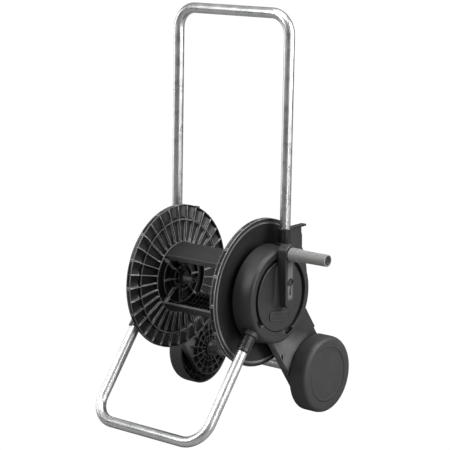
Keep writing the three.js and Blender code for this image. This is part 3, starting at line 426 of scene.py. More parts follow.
def softened(corners, radius, closed=True, steps=5):
    """A polygon with its corners rounded: each becomes a curve between two points at the distance
    radius along its sides, with one point more on each side, where the flat begins."""
    corners = np.asarray(corners, float)
    radius = np.broadcast_to(np.asarray(radius, float), len(corners))[:, None]
    to_last = np.roll(corners, 1, 0) - corners
    to_next = np.roll(corners, -1, 0) - corners
    length_last = np.linalg.norm(to_last, axis=1)[:, None]
    length_next = np.linalg.norm(to_next, axis=1)[:, None]
    shoulder, most, most_shoulder = 0.8, 0.42, 0.47  # in mm, and the largest shares of a side
    start = corners + to_last * np.minimum(radius / length_last, most)
    end = corners + to_next * np.minimum(radius / length_next, most)
    before = corners + to_last * np.minimum((radius + shoulder) / length_last, most_shoulder)
    after = corners + to_next * np.minimum((radius + shoulder) / length_next, most_shoulder)
    share = np.linspace(0, 1, steps)[None, :, None]
    curve = (1 - share) ** 2 * start[:, None] + 2 * share * (1 - share) * corners[:, None]
    curve = curve + share**2 * end[:, None]
    rounded = np.concatenate([before[:, None], curve, after[:, None]], 1)
    if not closed:
        rounded[0], rounded[-1] = corners[0], corners[-1]
    rounded = rounded.reshape(-1, 2)
    step = np.linalg.norm(rounded - np.roll(rounded, 1, 0), axis=1)
    if not closed:
        step[0] = 1
    return rounded[step > 1e-6]


def turned(profile, centre=(0.0, 0.0), steps=96):
    """Points (x, r) carried round a line along X: (x, y0 + r cos a, z0 + r sin a). The profile closes
    on itself, or starts and ends on the line; it may differ from angle to angle."""
    profile = np.asarray(profile, float)
    if profile.ndim == 3:
        steps = len(profile)
    angle = np.linspace(0, 2 * np.pi, steps, endpoint=False)[:, None]
    x, r = profile[..., 0], profile[..., 1]
    points = np.broadcast_arrays(x, centre[0] + r * np.cos(angle), centre[1] + r * np.sin(angle))
    on_axis = profile.ndim == 2 and max(profile[0, 1], profile[-1, 1]) == 0
    return skin(np.stack(points, -1), rows_joined=True, columns_joined=not on_axis)


def aimed(surface, origin, direction):
    """A surface made about the X axis, turned so that +X points along direction and moved to origin."""
    points, faces, grain = surface
    ahead = np.asarray(direction, float) / np.linalg.norm(direction)
    oblique = (0.3, 0.5, 0.81)  # not along any piece's line, so that it always gives a sideways direction
    side = np.cross(ahead, oblique)
    side /= np.linalg.norm(side)
    return origin + points @ np.stack([ahead, side, np.cross(ahead, side)]), faces, grain


def gloss_black():
    """Smooth moulded nylon: near black, with faint flow clouds, fine dust and rubbed edges."""
    material, finish = new_material("gloss_black")
    place = finish.place()
    cloud = finish.noise(place, 60, 3)
    dust = finish.noise(place, 900)
    worn = finish.between(finish.edge(), 0, 0.35, from_low=0.3, from_high=1.2)
    body = finish.mixed(cloud, shade(0.008, 0.001), shade(0.016, 0.001))
    colour = finish.mixed(worn, body, shade(0.12))
    roughness = finish.between(cloud * 0.6 + dust * 0.4, 0.14, 0.3, from_low=0.3, from_high=0.7)
    finish.surface(colour, roughness, cloud + dust * 0.3, 0.12, 0.0003)
    return material


def collar(length, radius, bore):
    """A sleeve along +X from 0, rounded at its far end, with a raised band there."""
    corners = [
        (0, bore), (0, radius), (length - 7, radius), (length - 6, radius + 0.5),
        (length, radius + 0.5), (length, bore),
    ]
    return turned(softened(corners, [0.3, 1, 0.5, 0.5, 1.6, 1]), steps=64)


gloss = gloss_black()
socket_low, socket_high = span("handle_socket_right")
collar_radius = (socket_high - socket_low)[0] / 2
socket_length = (socket_high - socket_low)[2] - 2 * collar_radius * np.sin(handle_lean)
sleeve_top, sleeve_length = 305.0, 67.0  # along the stand's leg, from its bar
for side, sign in SIDES.items():
    leg = np.array([sign * half_width, 0, 0])
    socket_top = leg + handle_bar + handle_down * (handle_bar[2] - socket_high[2]) / np.cos(handle_lean)
    make_piece(
        "handle_collar_" + side,
        [aimed(collar(socket_length, collar_radius, tube_radius + 0.2),
               socket_top + handle_down * socket_length, -handle_down)],
        gloss, "gloss_plastic", "frame", "handle_socket_" + side,
    )
    make_piece(
        "stand_collar_" + side,
        [aimed(collar(sleeve_length, collar_radius, tube_radius + 0.2),
               leg + stand_bar + stand_up * sleeve_top, -stand_up)],
        gloss, "gloss_plastic", "frame", "foot_sleeve_" + side,
    )

# ---- Side frames ----------------------------------------------------------------------------------
# One moulding of grained black polypropylene on each side: a round hub housing with a recess for the
# crank's disc, a hollow arm down to the axle, and a flat plate with a shelf behind the handle's socket.


def grained_black(name, darkest, palest, edge_wear_and_highlight):
    """Textured mould surface: near black, faint flow clouds, fine grain, dust, and edges paled towards a
    given grey: rubbed wear at a low level, a painted highlight at a high one.
    """
    material, finish = new_material(name)
    place = finish.place()
    cloud = finish.noise(place, 17, 4)
    grain = finish.noise(place, 1100)
    patchy = finish.between(cloud, 0.6, 1, from_low=0.35, from_high=0.6)
    # At the flange ribs' high level this edge mask paints a highlight; at the frames' low level it is rubbed
    # wear.
    worn = finish.between(finish.edge(), 0, 0.8, from_low=0.25) * patchy
    body = finish.mixed(cloud, shade(darkest, darkest * 0.03), shade(palest, palest * 0.03))
    dust = finish.between(grain, 0, 0.2, from_low=0.55, from_high=0.8)
    colour = finish.mixed(worn, finish.mixed(dust, body, shade(0.05)), shade(edge_wear_and_highlight))
    roughness = finish.between(cloud * 0.5 + grain * 0.5, 0.36, 0.56, from_low=0.3, from_high=0.7)
    finish.surface(colour, roughness, grain * 0.4 + cloud, 0.16, 0.0004)
    return material


def mirrored(surface, sign):
    """A surface of the crank side, or with sign -1 its mirror image on the other side."""
    points, faces, grain = surface
    return points * (sign, 1, 1), faces, grain


def moved(surface, offset):
    """The same surface somewhere else."""
    points, faces, grain = surface
    return points + offset, faces, grain


def arc(centre, radius, start, stop, steps):
    """Points on a circle, from one angle to another, in degrees."""
    angle = np.radians(np.linspace(start, stop, steps))
    return np.stack([centre[0] + radius * np.cos(angle), centre[1] + radius * np.sin(angle)], -1)


def drawn_in(outline, depth):
    """An outline that runs anticlockwise, moved inwards by each depth along its mitred normals."""
    ahead = np.roll(outline, -1, 0) - outline
    ahead /= np.linalg.norm(ahead, axis=1)[:, None]
    normal = np.stack([-ahead[:, 1], ahead[:, 0]], -1)
    last = np.roll(normal, 1, 0)
    mitre = (normal + last) / (1 + (normal * last).sum(1))[:, None]
    return outline + np.asarray(depth, float)[:, None, None] * mitre


def lid(outlines, x):
    """A flat face across an outline and its holes, at one x: the triangles between their points."""
    rings = [np.insert(outline, 0, x, axis=1) for outline in outlines]
    triangles = tessellate_polygon([[Vector(point) for point in ring] for ring in rings])
    points = np.concatenate(rings)
    return points, [np.array(triangles, int).reshape(-1, 3)], np.zeros_like(points)


def walls(outline, profile):
    """An outline (y, z) carried through a profile of (depth inwards, x)."""
    profile = np.asarray(profile, float)
    rows = drawn_in(outline, profile[:, 0])
    x = np.broadcast_to(profile[:, 1, None, None], rows.shape[:2] + (1,))
    return skin(np.concatenate([x, rows], -1))


def moulded(outline, profile, holes=(), pockets=()):
    """A closed moulding: the outline carried through a profile of (depth inwards, x), flat across its
    first and last rows. Holes run right through; a pocket (outline, depth) sinks from the first row."""
    profile = np.asarray(profile, float)
    front, rear = profile[0, 1], profile[-1, 1]
    rows = drawn_in(outline, profile[:, 0])
    surfaces = [walls(outline, profile)]
    surfaces += [walls(hole, [(0, front), (0, rear)]) for hole in holes]
    surfaces.append(lid([rows[0], *holes, *(pocket for pocket, _ in pockets)], front))
    surfaces.append(lid([rows[-1], *holes], rear))
    for pocket, depth in pockets:
        floor = front - depth if front > rear else front + depth
        surfaces.append(walls(pocket, [(0, front), (0, floor)]))
        surfaces.append(lid([pocket], floor))
    return gathered(surfaces)


def plate(outline, low, high, edge=1.2, holes=(), pockets=()):
    """A plate between two x, with rounded edges. Its first face is the one at high."""
    corners = [(2.6 * edge, high), (0, high), (0, low), (2.6 * edge, low)]
    return moulded(outline, softened(corners, edge, closed=False), holes, pockets)


def blades(inner, outer, low, high, thickness, angles, centre=(0.0, 0.0), stations=6):
    """Thin moulded ribs in planes through a line along X. At each radius from inner to outer a rib
    stands between x = low and x = high, its far edge rounded; one copy for each angle. Low and high
    are numbers, or functions of the radius."""
    radius = np.linspace(inner, outer, stations)[:, None]
    foot = np.broadcast_to(low(radius) if callable(low) else low, radius.shape)
    top = np.broadcast_to(high(radius) if callable(high) else high, radius.shape)
    lean = np.sign(top - foot)
    half, ease = thickness / 2, thickness * 0.35
    across = np.array([-half, -half, -half, ease - half, half - ease, half, half, half])
    side = [top - lean * (ease + 0.5), top - lean * ease]
    up = np.concatenate([foot, *side, top, top, *side[::-1], foot], 1)
    angle = np.asarray(angles, float)[:, None, None]
    y = centre[0] + radius * np.cos(angle) - across * np.sin(angle)
    z = centre[1] + radius * np.sin(angle) + across * np.cos(angle)
    return skin(np.stack(np.broadcast_arrays(up, y, z), -1), capped=True)


def around(count, start=0.0):
    """Even angles round a circle, in radians; the first is at start, in degrees."""
    return np.radians(start) + np.arange(count) * 2 * np.pi / count


def hoop(radius, low, high, thickness, centre=(0.0, 0.0), steps=128):
    """A thin round rib about a line along X."""
    corners = [
        (low, radius - thickness / 2), (low, radius + thickness / 2),
        (high, radius + thickness / 2), (high, radius - thickness / 2),
    ]
    return turned(softened(corners, thickness * 0.35, steps=3), centre, steps)


def sector(inner, outer, low, high, start, stop, centre, edge=0.8):
    """Part of a ring between two angles in degrees: a rounded rectangle (x, r) carried round."""
    corners = [(low, inner), (low, outer), (high, outer), (high, inner)]
    profile = softened(corners, edge, steps=4)
    angle = np.radians(np.linspace(start, stop, 40))[:, None]
    x = np.broadcast_to(profile[:, 0], (len(angle), len(profile)))
    y = centre[0] + profile[:, 1] * np.cos(angle)
    z = centre[1] + profile[:, 1] * np.sin(angle)
    return skin(np.stack([x, y, z], -1), capped=True)


black = grained_black("grained_black", 0.013, 0.022, 0.16)
fit = 0.3  # the play between a turning piece and its seat
drum_axis = np.array([0, centre_of("crank_disc")[2]])
axle_axis = centre_of("axle_rod")[1:]
housing_back = span("side_frame_right")[0][0]
housing_front = span("side_frame_right")[1][0]
housing_radius, housing_lip, recess_radius, recess_floor = 117.0, 111.0, 93.0, housing_front - 10
disc_radius = extent("crank_disc")[2] / 2
bush_seat = extent("drum_bush_right")[2] / 2 + fit
shell = 3.0
arm_back, arm_front, arm_half = 150.0, 166.0, 68.5
arm_length = np.linalg.norm(axle_axis - drum_axis)
arm_ahead = (axle_axis - drum_axis) / arm_length
arm_side = np.array([-arm_ahead[1], arm_ahead[0]])
arm_heading = np.degrees(np.arctan2(arm_ahead[1], arm_ahead[0]))


def housing():
    """The round shell: its front edge rolls over into a flat ring round the recess, whose wall steps
    out at two windows."""
    angle = np.degrees(np.linspace(0, 2 * np.pi, 720, endpoint=False))
    signed = (angle + 180) % 360 - 180
    window_spans, window_depth, near = ((-154, -141), (-79, -62)), 4.0, 1.5
    window = np.any([(signed > start) & (signed < stop) for start, stop in window_spans], 0)
    corners = [
        (housing_back, housing_radius), (housing_front, housing_lip), (housing_front, recess_radius),
        (recess_floor, recess_radius), (recess_floor, bush_seat), (arm_back, bush_seat),
        (arm_back, bush_seat + shell), (recess_floor - shell, bush_seat + shell),
        (recess_floor - shell, recess_radius + 5), (housing_front - shell, recess_radius + 5),
        (housing_front - shell, housing_lip - shell - 2), (housing_back, housing_radius - shell),
    ]
    profile = softened(corners, [1, 9.5, 1, 0.5, 1, 0.5, 0.5, 1, 1, 1, 6, 1], steps=9)
    rows = np.repeat(profile[None], len(angle), 0)
    near_recess = np.abs(rows[..., 1] - recess_radius) < near
    rows[..., 1] += near_recess * window[:, None] * window_depth
    return turned(rows, drum_axis)


def on_arm(ahead, aside):
    """A place on the arm: so far from the drum's axis towards the axle, and so far aside."""
    return drum_axis + arm_ahead * ahead + arm_side * aside


def arm_outline():
    """The arm from the drum's axis to a round end about the axle; a step narrows it on its rear edge."""
    step_at, step = 186.0, 4.5
    end = arc(axle_axis, arm_half, arm_heading - 90, arm_heading + 90, 40)
    stepped = [on_arm(step_at, arm_half), on_arm(step_at, arm_half + step), on_arm(0, arm_half + step)]
    return np.concatenate([[on_arm(0, -arm_half)], end, stepped])


def arm():
    """A shallow tray open inwards with a rounded rim, a small window, and ribs about the axle."""
    window_corners = ((125.2, -63.4), (119.5, -54.8), (106.9, -63.4))  # before the axle, and aside
    window = softened([on_arm(arm_length - before, aside) for before, aside in window_corners], 1.0, steps=3)
    corners = [(2.8, arm_front), (0, arm_front), (0, arm_back), (shell, arm_back),
               (shell, arm_front - shell), (shell + 1.3, arm_front - shell)]
    profile = softened(corners, [0, 2.2, 0.8, 0.8, 1, 0], closed=False)
    tray = moulded(arm_outline(), profile, holes=[window])
    foot, top, rib = arm_front - shell / 2, arm_back + 3, 1.5
    ribs = blades(19, arm_half - 2, foot, top, rib, around(16, 8), axle_axis)
    rings = [hoop(radius, top, foot, rib, axle_axis) for radius in (33, 50)]
    bore, radius, proud = 6.3, 18.5, 2
    corners = [(arm_back - proud, bore), (arm_back - proud, radius), (arm_front + proud, radius),
               (arm_front + proud, bore)]
    axle_boss = turned(softened(corners, 0.8), axle_axis)
    strut_angles = np.radians(arm_heading) + np.radians([-18, -6, 6, 18])
    struts = blades(118, 198, foot, top, rib, strut_angles, drum_axis)
    return [tray, ribs, *rings, axle_boss, struts]


def rear_plate():
    """The plate behind the socket, its stepped rear edge, two stiffeners and the shelf along its top."""
    plate_top = span("side_frame_right")[1][2] - 5
    plate_rear = 112.0
    front = 53.0
    outline = softened(
        [(front, 345), (plate_rear - 8, 345), (plate_rear, 392), (plate_rear, plate_top - 22),
         (plate_rear - 3, plate_top - 14), (plate_rear - 3, plate_top + 1), (front, plate_top + 1)],
        [0.5, 4, 4, 2, 2, 1, 0.5],
    )
    face = plate(outline, arm_front - shell - 1, arm_front, 0.9)
    shelf_corners = [(60, plate_top), (120, plate_top), (120, plate_top + 5), (60, plate_top + 5)]
    shelf = plate(softened(shelf_corners, 1.5), arm_front - 9, arm_front + 6, 1.2)
    ribs = [
        plate(softened([(y, 346), (y + 2.4, 346), (y + 2.4, plate_top + 1), (y, plate_top + 1)], 0.3),
              arm_back + 2, arm_front - shell, 0.4)
        for y in (front + 20, plate_rear - 14)
    ]
    return [face, shelf, *ribs]


def boss(low, high):
    """The cylinder moulded round a collar, open at the end where the tube goes in."""
    length = np.linalg.norm(high - low)
    bore = collar_radius + 0.9
    corners = [(0, 0), (0, bore + shell), (length, bore + shell), (length, bore), (6, bore), (6, 0)]
    return aimed(turned(softened(corners, [0, 3, 1.2, 0.8, 0.5, 0], closed=False), steps=64), low, high - low)


def socket_at(below):
    """A place on the handle's leg, so far below the top of its socket."""
    from_bar = (handle_bar[2] - socket_high[2]) / np.cos(handle_lean)
    return (half_width, 0, 0) + handle_bar + handle_down * (from_bar + below)


def sleeve_at(length):
    """A place on the stand's leg, so far up from its bar."""
    return (half_width, 0, 0) + stand_bar + stand_up * length


def side_moulding():
    """One side frame: housing, arm and plate, with a boss round the handle's end and the stand's."""
    past_end, socket_bare, sleeve_held = 4.0, 34.0, 27.0  # mm along the tubes
    tongue = sector(disc_radius + 2.2, recess_radius + 0.5, recess_floor - 1, housing_front - 0.8,
                    -139, -80.5, drum_axis)
    hidden_ribs = blades(bush_seat + 2, housing_radius - 6, recess_floor - 1, arm_back, 1.8,
                         around(16, 11.25), drum_axis)
    return [
        housing(), tongue, hidden_ribs, *arm(), *rear_plate(),
        boss(socket_at(socket_length + past_end), socket_at(socket_bare)),
        boss(sleeve_at(sleeve_top + past_end), sleeve_at(sleeve_top - sleeve_held)),
    ]


for side, sign in SIDES.items():
    make_piece(
        "side_moulding_" + side,
        [mirrored(surface, sign) for surface in side_moulding()],
        black, "black_plastic", "frame", "side_frame_" + side,
    )

# ---- Axle -----------------------------------------------------------------------------------------
# A length of the same aluminium tube spaces the two arms. A zinc-plated rod runs through it and
# through both wheels, with a washer inside each wheel and a push-on retainer outside.


def zinc_plate():
    """Bright zinc on steel: bluish grey, cloudy, with a fine grain."""
    material, finish = new_material("zinc_plate")
    place = finish.place()
    cloud = finish.noise(place, 160, 4)
    colour = finish.mixed(cloud, (0.42, 0.43, 0.44, 1), (0.68, 0.69, 0.7, 1))
    roughness = finish.between(cloud, 0.2, 0.4, from_low=0.35, from_high=0.65)
    finish.surface(colour, roughness, finish.noise(place, 2200, 1), 0.2, 0.0001, metallic=1)
    return material


def round_bar(node, bore=0.0, edge=0.5):
    """A bar, or a ring with a bore, as long and as thick as a CAD node whose line is along X."""
    low, high = span(node)
    radius = (high - low)[2] / 2
    corners = [(low[0], bore), (low[0], radius), (high[0], radius), (high[0], bore)]
    if bore:
        return turned(softened(corners, edge), (low + high)[1:] / 2, 48)
    return turned(softened(corners, [0, edge, edge, 0], closed=False), (low + high)[1:] / 2, 48)


steel = zinc_plate()
rod_radius = extent("axle_rod")[2] / 2
axle_low, axle_high = span("axle_tube")
axle_ends = np.array([(axle_low[0], *axle_axis), (axle_high[0], *axle_axis)])
straight, upwards = np.array([(1.0, 0, 0)] * 2), np.array([0, 0, 1.0])
axle_pipe = swept(axle_ends, straight, upwards, tube_radius, tube_radius - tube_wall)
make_piece("axle_spacer_tube", [axle_pipe], aluminium, "tube_aluminium", "frame", "axle_tube")
make_piece("axle_bar", [round_bar("axle_rod")], steel, "steel_hardware", "frame", "axle_rod")
for side in SIDES:
    for kind in ("washer", "retainer"):
        node = "axle_" + kind + "_" + side
        ring = round_bar(node, rod_radius + fit, 0.3)
        make_piece("wheel_" + kind + "_" + side, [ring], steel, "steel_hardware", "frame", node)

# ---- Wheels ---------------------------------------------------------------------------------------
# Hollow blow-moulded wheels of dark polypropylene: a smooth tread that rolls over into a flat face,
# a snapped-in cover disc, and on the inner side an open rim with ribs round a bushed hub.


def wheel_grey():
    """Slightly rough dark grey moulding: fine pitting, scuffs, paler rubbed edges."""
    material, finish = new_material("wheel_grey")
    place = finish.place()
    cloud = finish.noise(place, 22, 5)
    pits = finish.noise(place, 800)
    scuff = finish.noise(finish.stretched(place, (300, 25, 25)), 1, 4)
    rubbed = finish.between(finish.edge(), 0, 0.5, from_low=0.2, from_high=0.9)
    scratched = finish.between(scuff, 0, 0.3, from_low=0.58, from_high=0.75)
    body = finish.mixed(cloud, shade(0.02, 0.0005), shade(0.034, 0.0005))
    colour = finish.mixed(rubbed, finish.mixed(scratched, body, shade(0.06)), shade(0.16))
    roughness = finish.between(cloud * 0.5 + pits * 0.5, 0.42, 0.66, from_low=0.3, from_high=0.7)
    finish.surface(colour, roughness, pits * 0.5 + cloud, 0.18, 0.0004)
    return material


def light_grey():
    """Light grey moulding with a silky face: faint clouds, fine specks, and a painted highlight on its
    ridges.
    """
    material, finish = new_material("light_grey")
    place = finish.place()
    cloud = finish.noise(place, 70, 4)
    specks = finish.noise(place, 1500)
    # Painted highlight: every edge that turns outwards, even a shallow ring, is paled towards a lighter grey.
    raised = finish.between(finish.edge(), 0, 0.5, from_low=0.05, from_high=0.6)
    body = finish.mixed(cloud, shade(0.17, -0.002), shade(0.22, -0.003))
    specked = finish.mixed(finish.between(specks, 0, 0.3, from_low=0.55, from_high=0.8), body, shade(0.2))
    colour = finish.mixed(raised, specked, shade(0.34, -0.005))
    roughness = finish.between(cloud, 0.42, 0.58, from_low=0.35, from_high=0.65)
    finish.surface(colour, roughness, specks, 0.15, 0.0002)
    return material


wheel_plastic = wheel_grey()
grey = light_grey()
wheel_low, wheel_high = span("wheel_right")
wheel_in, wheel_out = wheel_low[0], wheel_high[0]
wheel_radius = (wheel_high - wheel_low)[2] / 2
cap_radius = extent("wheel_cap_right")[2] / 2
cap_seat = span("wheel_cap_right")[0][0] - fit
hub_radius = 18.0
hub_bore = extent("wheel_bush_right")[2] / 2 + fit


def wheel():
    """The tyre's section closed on itself: tread, rolled edge, face, cover's seat, web and hub."""
    inner = wheel_radius - 3.5
    corners = [
        (wheel_in, wheel_radius), (wheel_out, wheel_radius), (wheel_out, cap_radius + 1.2),
        (cap_seat, cap_radius + 1.2), (cap_seat, hub_radius - 3), (wheel_out - 9.5, hub_radius - 3),
        (wheel_out - 9.5, hub_bore), (wheel_in + 1, hub_bore), (wheel_in + 1, hub_radius),
        (cap_seat - 3, hub_radius), (cap_seat - 3, wheel_radius - 17), (wheel_out - 8, inner - 3),
        (wheel_in, inner),
    ]
    easing = [1.5, 15, 0.8, 0.3, 0.3, 0.3, 0.3, 0.5, 0.8, 2, 4, 6, 0.8]
    section = turned(softened(corners, easing, steps=9), axle_axis, 160)
    web = cap_seat - 2
    rib = 1.8
    spokes = blades(hub_radius - 1, inner + 1, web, lambda r: wheel_in + 6 + 0.12 * (r - hub_radius),
                    rib, around(20), axle_axis)
    rings = [hoop(radius, wheel_in + sunk, web, rib, axle_axis) for radius, sunk in ((75, 12), (42, 9))]
    return [section, spokes, *rings]


def wheel_cover():
    """A shallow disc with a raised rounded rim and a slightly domed middle."""
    corners = [
        (cap_seat + 0.3, 0), (cap_seat + 0.3, cap_radius), (wheel_out - 0.3, cap_radius),
        (wheel_out - 0.3, cap_radius - 4), (wheel_out - 0.9, cap_radius - 5), (wheel_out, 0),
    ]
    return turned(softened(corners, [0, 0.3, 0.8, 0.8, 0.8, 0], closed=False), axle_axis, 160)


for side, sign in SIDES.items():
    body = side + "_wheel"
    make_piece("tyre_" + side, [mirrored(surface, sign) for surface in wheel()],
               wheel_plastic, "wheel_plastic", body, "wheel_" + side)
    make_piece("wheel_cover_" + side, [mirrored(wheel_cover(), sign)],
               wheel_plastic, "wheel_plastic", body, "wheel_cap_" + side)
    hub = round_bar("wheel_bush_" + side, rod_radius + fit, 0.4)
    make_piece("wheel_sleeve_" + side, [hub], grey, "grey_plastic", body, "wheel_bush_" + side)

# ---- Drum flanges ---------------------------------------------------------------------------------
# Two dished discs from one mould, in black polypropylene. The face towards the hose has thirty-two
# thin ribs and four hoops, with scooped cells outside the widest hoop; the other face is a smooth bowl.

flange_radius = extent("flange_right")[2] / 2
web_face, rim_in, rim_out = 123.0, 122.5, 134.5
core_radius, rib_hoop, spoke_hoop, hub_hoop, small_hoop = 84.0, 140.0, 63.0, 31.0, 18.0
journal_radius = 22.0
journal_end = span("flange_right")[1][0]
flange_cells = 32
rib_root, rib_lean = 114.0, 8.5  # x of the ribs' edges at the core, and how far out they are at the rim
cone_start, cone_run, cone_lean = core_radius + 15, 73.0, 8.0  # where the web starts to lean outwards
bowl_start, bowl_face, bowl_lean = 100.0, 126.0, 7.9  # the same for the bowl on the other face
shaded_black_with_rib_highlights = grained_black("black_with_painted_shade_and_rib_highlights", 0.004, 0.008, 0.75)  # painted shade: darker than the frames' black; painted highlight: edges paled along every rib


def rib_edge(radius):
    """x of the ribs' edges: they lean outwards from the core to the rim."""
    return rib_root + rib_lean * (radius - core_radius - 2) / (flange_radius - core_radius - 2)


def web_depth(radius):
    """x of the web's face towards the hose: flat at the core, then a cone out to the rim."""
    return web_face + cone_lean * np.clip((radius - cone_start) / cone_run, 0, 1)


def flange(bore):
    """The web: from angle to angle its outer band is scooped between the ribs by a half sine, and the
    rim's outside is sunk by 2 mm except at sixteen cross ribs, its floor tilted one way then the other."""
    angle = np.linspace(0, 2 * np.pi, flange_cells * 14, endpoint=False)[:, None]
    across = (angle * flange_cells / (2 * np.pi)) % 1
    facet = np.where(np.floor(angle * flange_cells / (4 * np.pi)) % 2 == 0, 1.0, -1.0)
    radius = np.concatenate([
        [bore, 40, core_radius + 8], np.linspace(core_radius + 15, 124, 6), np.linspace(127, 139, 7),
        np.linspace(141, flange_radius - 4, 15), [flange_radius - 2.4],
    ])[None]
    fillet_depth, fillet_start, scoop_depth, scoop_slant = 5, 125, 4.5, 1.5
    fillet = fillet_depth * np.clip((radius - fillet_start) / 14, 0, 1) ** 2 * (radius < rib_hoop)
    band = np.clip((radius - rib_hoop) / 5, 0, 1)
    scoop = band * (scoop_depth * (1 - np.sin(np.pi * across)) + scoop_slant * across)
    front = web_depth(radius) - fillet - scoop
    front[:, -1] = rim_in + 1
    # The rim's section: a lip, a channel 2 mm deep and a wider lip.
    rim = softened(
        [(rim_in + 1, flange_radius - 2.4), (rim_in, flange_radius - 1.6), (rim_in, flange_radius),
         (rim_in + 1.8, flange_radius), (rim_in + 2.4, flange_radius - 2), (rim_out - 3, flange_radius - 2),
         (rim_out - 2.4, flange_radius), (rim_out, flange_radius), (rim_out, flange_radius - 12)],
        [0, 0.4, 0.6, 0.3, 0.3, 0.3, 0.3, 1.0, 0], closed=False, steps=3,
    )
    floor = (rim[:, 1] < flange_radius - 1.2) & (rim[:, 0] > rim_in + 1.8) & (rim[:, 0] < rim_out - 2.2)
    at_rib = np.abs((angle * flange_cells / (4 * np.pi) + 0.5) % 1 - 0.5) < 0.04
    tilt = facet * 0.28 * (rim[:, 0] - (rim_in + rim_out) / 2)
    rim_radius = np.where(floor, np.where(at_rib, flange_radius - 0.3, rim[:, 1] + tilt), rim[:, 1])
    back_radius = np.concatenate([np.linspace(flange_radius - 13, 104, 18), [90, 60, journal_radius]])
    outwards = np.clip((back_radius - bowl_start) / (flange_radius - 13 - bowl_start), 0, 1)
    bowl = bowl_face + bowl_lean * outwards**1.3
    x = np.concatenate([front, np.tile(rim[:, 0], (len(angle), 1)), np.tile(bowl, (len(angle), 1))], 1)
    x = np.concatenate([x, x[:, -1:]], 1)
    even = np.ones((len(angle), 1))
    r = np.concatenate([even * radius, rim_radius, even * back_radius, even * bore], 1)
    return turned(np.stack([x, r], -1), drum_axis)


def flange_moulding(bore):
    """One flange: the web, a journal on its far side, and the ribs, hoops and gussets on the web."""
    web = flange(bore)
    corners = [(web_face, bore), (web_face, journal_radius), (journal_end, journal_radius),
               (journal_end, bore)]
    journal = turned(softened(corners, 0.8), drum_axis)
    foot = web_face + 1
    ribs = blades(core_radius + 2, flange_radius - 2.2, lambda r: web_depth(r) + 0.3, rib_edge, 1.1,
                  around(flange_cells), drum_axis, stations=8)
    spokes = blades(hub_hoop, spoke_hoop, foot, lambda r: 110 + 4 * (r - hub_hoop) / 32, 1.2,
                    around(8), drum_axis)
    short = blades(small_hoop, hub_hoop, foot, 107.0, 1.0, around(8), drum_axis)
    hoops = [
        hoop(rib_hoop, rib_edge(rib_hoop), web_depth(rib_hoop) + 1, 1.5, drum_axis),
        hoop(core_radius + 2, rib_root, foot, 2.2, drum_axis),
        hoop(spoke_hoop, rib_root, foot, 1.8, drum_axis),
        hoop(hub_hoop, 108, foot, 2.0, drum_axis),
        hoop(small_hoop, 106, foot, 1.8, drum_axis, 64),
    ]
    gussets = [gusset(angle) for angle in around(4, 45)]
    return [web, journal, ribs, spokes, short, *hoops, *gussets]


def gusset(angle):
    """A three-cornered block that locates a stave's corner, pointing outwards from the spokes' hoop."""
    ahead = np.array([np.cos(angle), np.sin(angle)])
    side = np.array([-ahead[1], ahead[0]])
    corners = [spoke_hoop * ahead - 4 * side, (spoke_hoop + 15) * ahead, spoke_hoop * ahead + 4 * side]
    outline = softened(np.array(corners) + drum_axis, 0.8, steps=3)
    return moulded(outline, [(0.6, 112.6), (0, 113.2), (0, web_face + 1)])


# The flanges take the darker black: painted shade on the web and a painted highlight along every rib.
for side, sign in SIDES.items():
    bore = 14.0 if sign > 0 else 8.3
    make_piece(
        "drum_flange_" + side,
        [mirrored(surface, sign) for surface in flange_moulding(bore)],
        shaded_black_with_rib_highlights, "black_plastic", "drum", "flange_" + side,
    )

# ---- Core staves ----------------------------------------------------------------------------------
# Two shallow curved boards of the same black moulding that the hose is wound on. Each has a lip
# turned in along both long edges and a screw post at each end; the lower one has a lattice inside.

stave_end = web_face - 0.3
lattice_inner, lattice_outer, lattice_rib = core_radius - 9, core_radius - 1, 1.6


def stave(top_angle, half, lip):
    """The board's section, an arc with its edges turned in, carried between the flanges."""
    low, high = top_angle - half, top_angle + half
    slant = 2.1  # angle of the board's thickness at its inner face, in degrees
    tip = core_radius - lip
    outline = np.concatenate([
        arc(drum_axis, core_radius, low, high, 30),
        arc(drum_axis, tip, high, high - 2.6, 3),
        arc(drum_axis, core_radius - 3, high - slant, low + slant, 30),
        arc(drum_axis, tip, low + 2.6, low, 3),
    ])
    return plate(outline, -stave_end, stave_end, 0.7)


def stave_bead(angle):
    """A thin round bead along the stave, at an angle in degrees."""
    corner = np.radians(angle)
    radius, length = 1.5, 2 * stave_end
    profile = softened([(0, 0), (0, radius), (length, radius), (length, 0)], [0, 0.5, 0.5, 0], closed=False)
    out = (core_radius - 0.8) * np.array([0, np.cos(corner), np.sin(corner)])
    return moved(turned(profile, steps=16), np.insert(drum_axis, 0, 0) + out - (stave_end, 0, 0))


def stave_rib(angle):
    """A lattice rib along the stave: a thin rectangle across, at an angle in degrees."""
    turn = np.radians(angle)
    ahead = np.array([np.cos(turn), np.sin(turn)])
    half = lattice_rib / 2 * np.array([-ahead[1], ahead[0]])
    inner, outer = lattice_inner * ahead, lattice_outer * ahead
    outline = softened(np.array([inner - half, outer - half, outer + half, inner + half]) + drum_axis, 0.3,
                       steps=2)
    return plate(outline, -stave_end, stave_end, 0.4)


